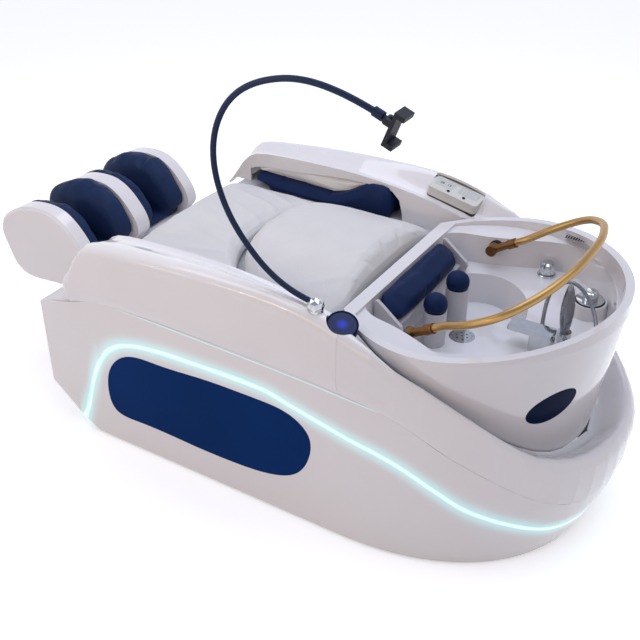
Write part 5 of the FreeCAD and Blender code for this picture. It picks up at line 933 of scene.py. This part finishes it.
def make_arm_noses():
    """The soft round edge at the foot end of each armrest, which runs on from the armrest's sides."""
    for side, reach in ARM_NOSES.items():
        outline = end_outline("armrest_" + side)
        low = Vector([min(spot[i] for spot in outline) for i in range(3)])
        high = Vector([max(spot[i] for spot in outline) for i in range(3)])
        middle, half = (low + high) / 2, (high - low) / 2
        shape = bmesh.new()
        rings = []
        for step in range(NOSE_STEPS + 1):
            turn = math.pi / 2 * step / NOSE_STEPS
            drawn = (1 - math.cos(turn)) * reach * MM
            out = math.sin(turn) * reach * MM
            rings.append([shape.verts.new((low.x - out, middle.y + (spot.y - middle.y) * (1 - drawn / half.y),
                                           middle.z + (spot.z - middle.z) * (1 - drawn / half.z)))
                          for spot in outline])
        for first, second in zip(rings, rings[1:]):
            for i, spot in enumerate(first):
                shape.faces.new((first[i - 1], spot, second[i], second[i - 1]))
        shape.faces.new(rings[-1])
        bmesh.ops.recalc_face_normals(shape, faces=shape.faces)
        mesh = bpy.data.meshes.new("armrest_nose_" + side)
        shape.to_mesh(mesh)
        shape.free()
        mesh.shade_smooth()
        mesh.set_sharp_from_angle(angle=math.radians(NOSE_SHARP_ANGLE))
        show("armrest_nose_" + side, mesh, FINISH["gloss_shell"], "root", "gloss_shell")


# The arm's foot: a cut-faced chrome ball that turns in the socket.
BALL_PLACE, BALL_RADIUS, BALL_BEVEL = (300, -450, 742), 24, 0.5


def make_arm_ball():
    """The ball under the arm, with a fine bevel on each cut edge."""
    shape = bmesh.new()
    bmesh.ops.create_icosphere(shape, subdivisions=2, radius=BALL_RADIUS * MM)
    bmesh.ops.bevel(shape, geom=shape.edges[:], offset=BALL_BEVEL * MM, segments=1, affect="EDGES")
    bmesh.ops.translate(shape, verts=shape.verts, vec=Vector(BALL_PLACE) * MM)
    mesh = bpy.data.meshes.new("arm_foot_ball")
    shape.to_mesh(mesh)
    shape.free()
    show("arm_foot_ball", mesh, FINISH["chrome"], "gooseneck", "chrome")


# Marks on the control panel: the display's two figures and the key grid, on the panel's own slope.
DISPLAY_FIGURES = ("38", "15")
KEY_COLUMNS, KEY_ROWS = 5, 3
KEY_PITCH, ROW_PITCH, KEY_SHIFT = 11.5, 8.5, 3
KEY_LENGTH, KEY_WIDTH, KEY_HEIGHT = 8, 5.2, 1.4
FIGURE_HEIGHT, FIGURE_DEPTH, FIGURE_PITCH, FIGURE_LIFT = 15, 0.15, 26, 0.2


def plate_frame(node):
    """The middle of a flat node's upper face, with its long and cross directions and its normal."""
    points = points_of(NODES[node].data)
    normals = [face.normal.copy() for face in NODES[node].data.polygons]
    areas = [face.area for face in NODES[node].data.polygons]
    up = max(zip(areas, normals), key=lambda pair: pair[0] * (pair[1].z > 0.5))[1]
    along = Vector((1, 0, 0)) - up * up.x
    along.normalize()
    across = up.cross(along)
    top = points[(points @ np.array(up)) > (points @ np.array(up)).max() - 0.4 * MM]
    middle = Vector((top.min(axis=0) + top.max(axis=0)) / 2)
    return middle, along, across, up


def laid_on(mesh, middle, along, across, up):
    """Lays a flat mesh made about the origin on a sloping plate."""
    axes = np.array((along, across, up))
    set_points(mesh, points_of(mesh) @ axes + np.array(middle))


# Dark bars painted into the vent's slots for the shade inside them: how many, the length, width and height of
# each, and the bare margin of the row.
VENT_SLOTS, VENT_SLOT, VENT_MARGIN = 11, (4.2, 18, 0.8), 24


def make_vent_slot_shade():
    """Painted shade in the vent's slots in the basin's rim: dark bars in a row along the grille."""
    middle, along, across, up = plate_frame("vent_grille")
    low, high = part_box("vent_grille")
    reach = (Vector(high) - Vector(low)).xy.length / MM - VENT_MARGIN
    plate = bpy.data.meshes.new("vent_plate")
    pitch = reach / VENT_SLOTS
    plate.from_pydata([((i - (VENT_SLOTS - 1) / 2) * pitch * MM, 0, 0) for i in range(VENT_SLOTS)], [], [])
    length, width, height = VENT_SLOT
    slots = grown(plate, key_grid(), FINISH["black_plastic"], Key_Length=length, Key_Width=width,
                  Key_Height=height)
    laid_on(slots, middle, along, across, up)
    show("vent_slots", slots, FINISH["black_plastic"], "root", "black_plastic")


def make_panel_marks():
    """The small keys beside the display and the figures on it."""
    middle, along, across, up = plate_frame("control_keypad")
    plate = bpy.data.meshes.new("key_plate")
    places = [Vector(((column - (KEY_COLUMNS - 1) / 2) * KEY_PITCH,
                      (row - (KEY_ROWS - 1) / 2) * ROW_PITCH + KEY_SHIFT, 0)) * MM
              for column in range(KEY_COLUMNS) for row in range(KEY_ROWS)]
    plate.from_pydata(places, [], [])
    keys = grown(plate, key_grid(), FINISH["panel_grey"], Key_Length=KEY_LENGTH, Key_Width=KEY_WIDTH,
                 Key_Height=KEY_HEIGHT)
    laid_on(keys, middle, along, across, up)
    show("panel_keys", keys, FINISH["panel_grey"], "root", "panel_grey")
    middle, along, across, up = plate_frame("control_screen")
    for i, figure in enumerate(DISPLAY_FIGURES):
        words = bpy.data.curves.new("display_figure", "FONT")
        words.body = figure
        words.size = FIGURE_HEIGHT * MM
        words.align_x = words.align_y = "CENTER"
        words.extrude = FIGURE_DEPTH * MM
        holder = bpy.data.objects.new("display_figure", words)
        bpy.context.scene.collection.objects.link(holder)
        mesh = settled(holder)
        bpy.data.objects.remove(holder)
        spot = middle + (along * (i - 0.5) * FIGURE_PITCH + up * FIGURE_LIFT) * MM
        laid_on(mesh, spot, along, across, up)
        show(f"display_figure_{i + 1}", mesh, FINISH["black_plastic"], "root", "black_plastic")


make_camera()
make_hose()
make_room()
dress_nodes()
make_cushions()
make_arm_pads()
make_calf_pads()
make_neck_rest()
make_arm_noses()
make_arm_ball()
make_vent_slot_shade()
make_panel_marks()
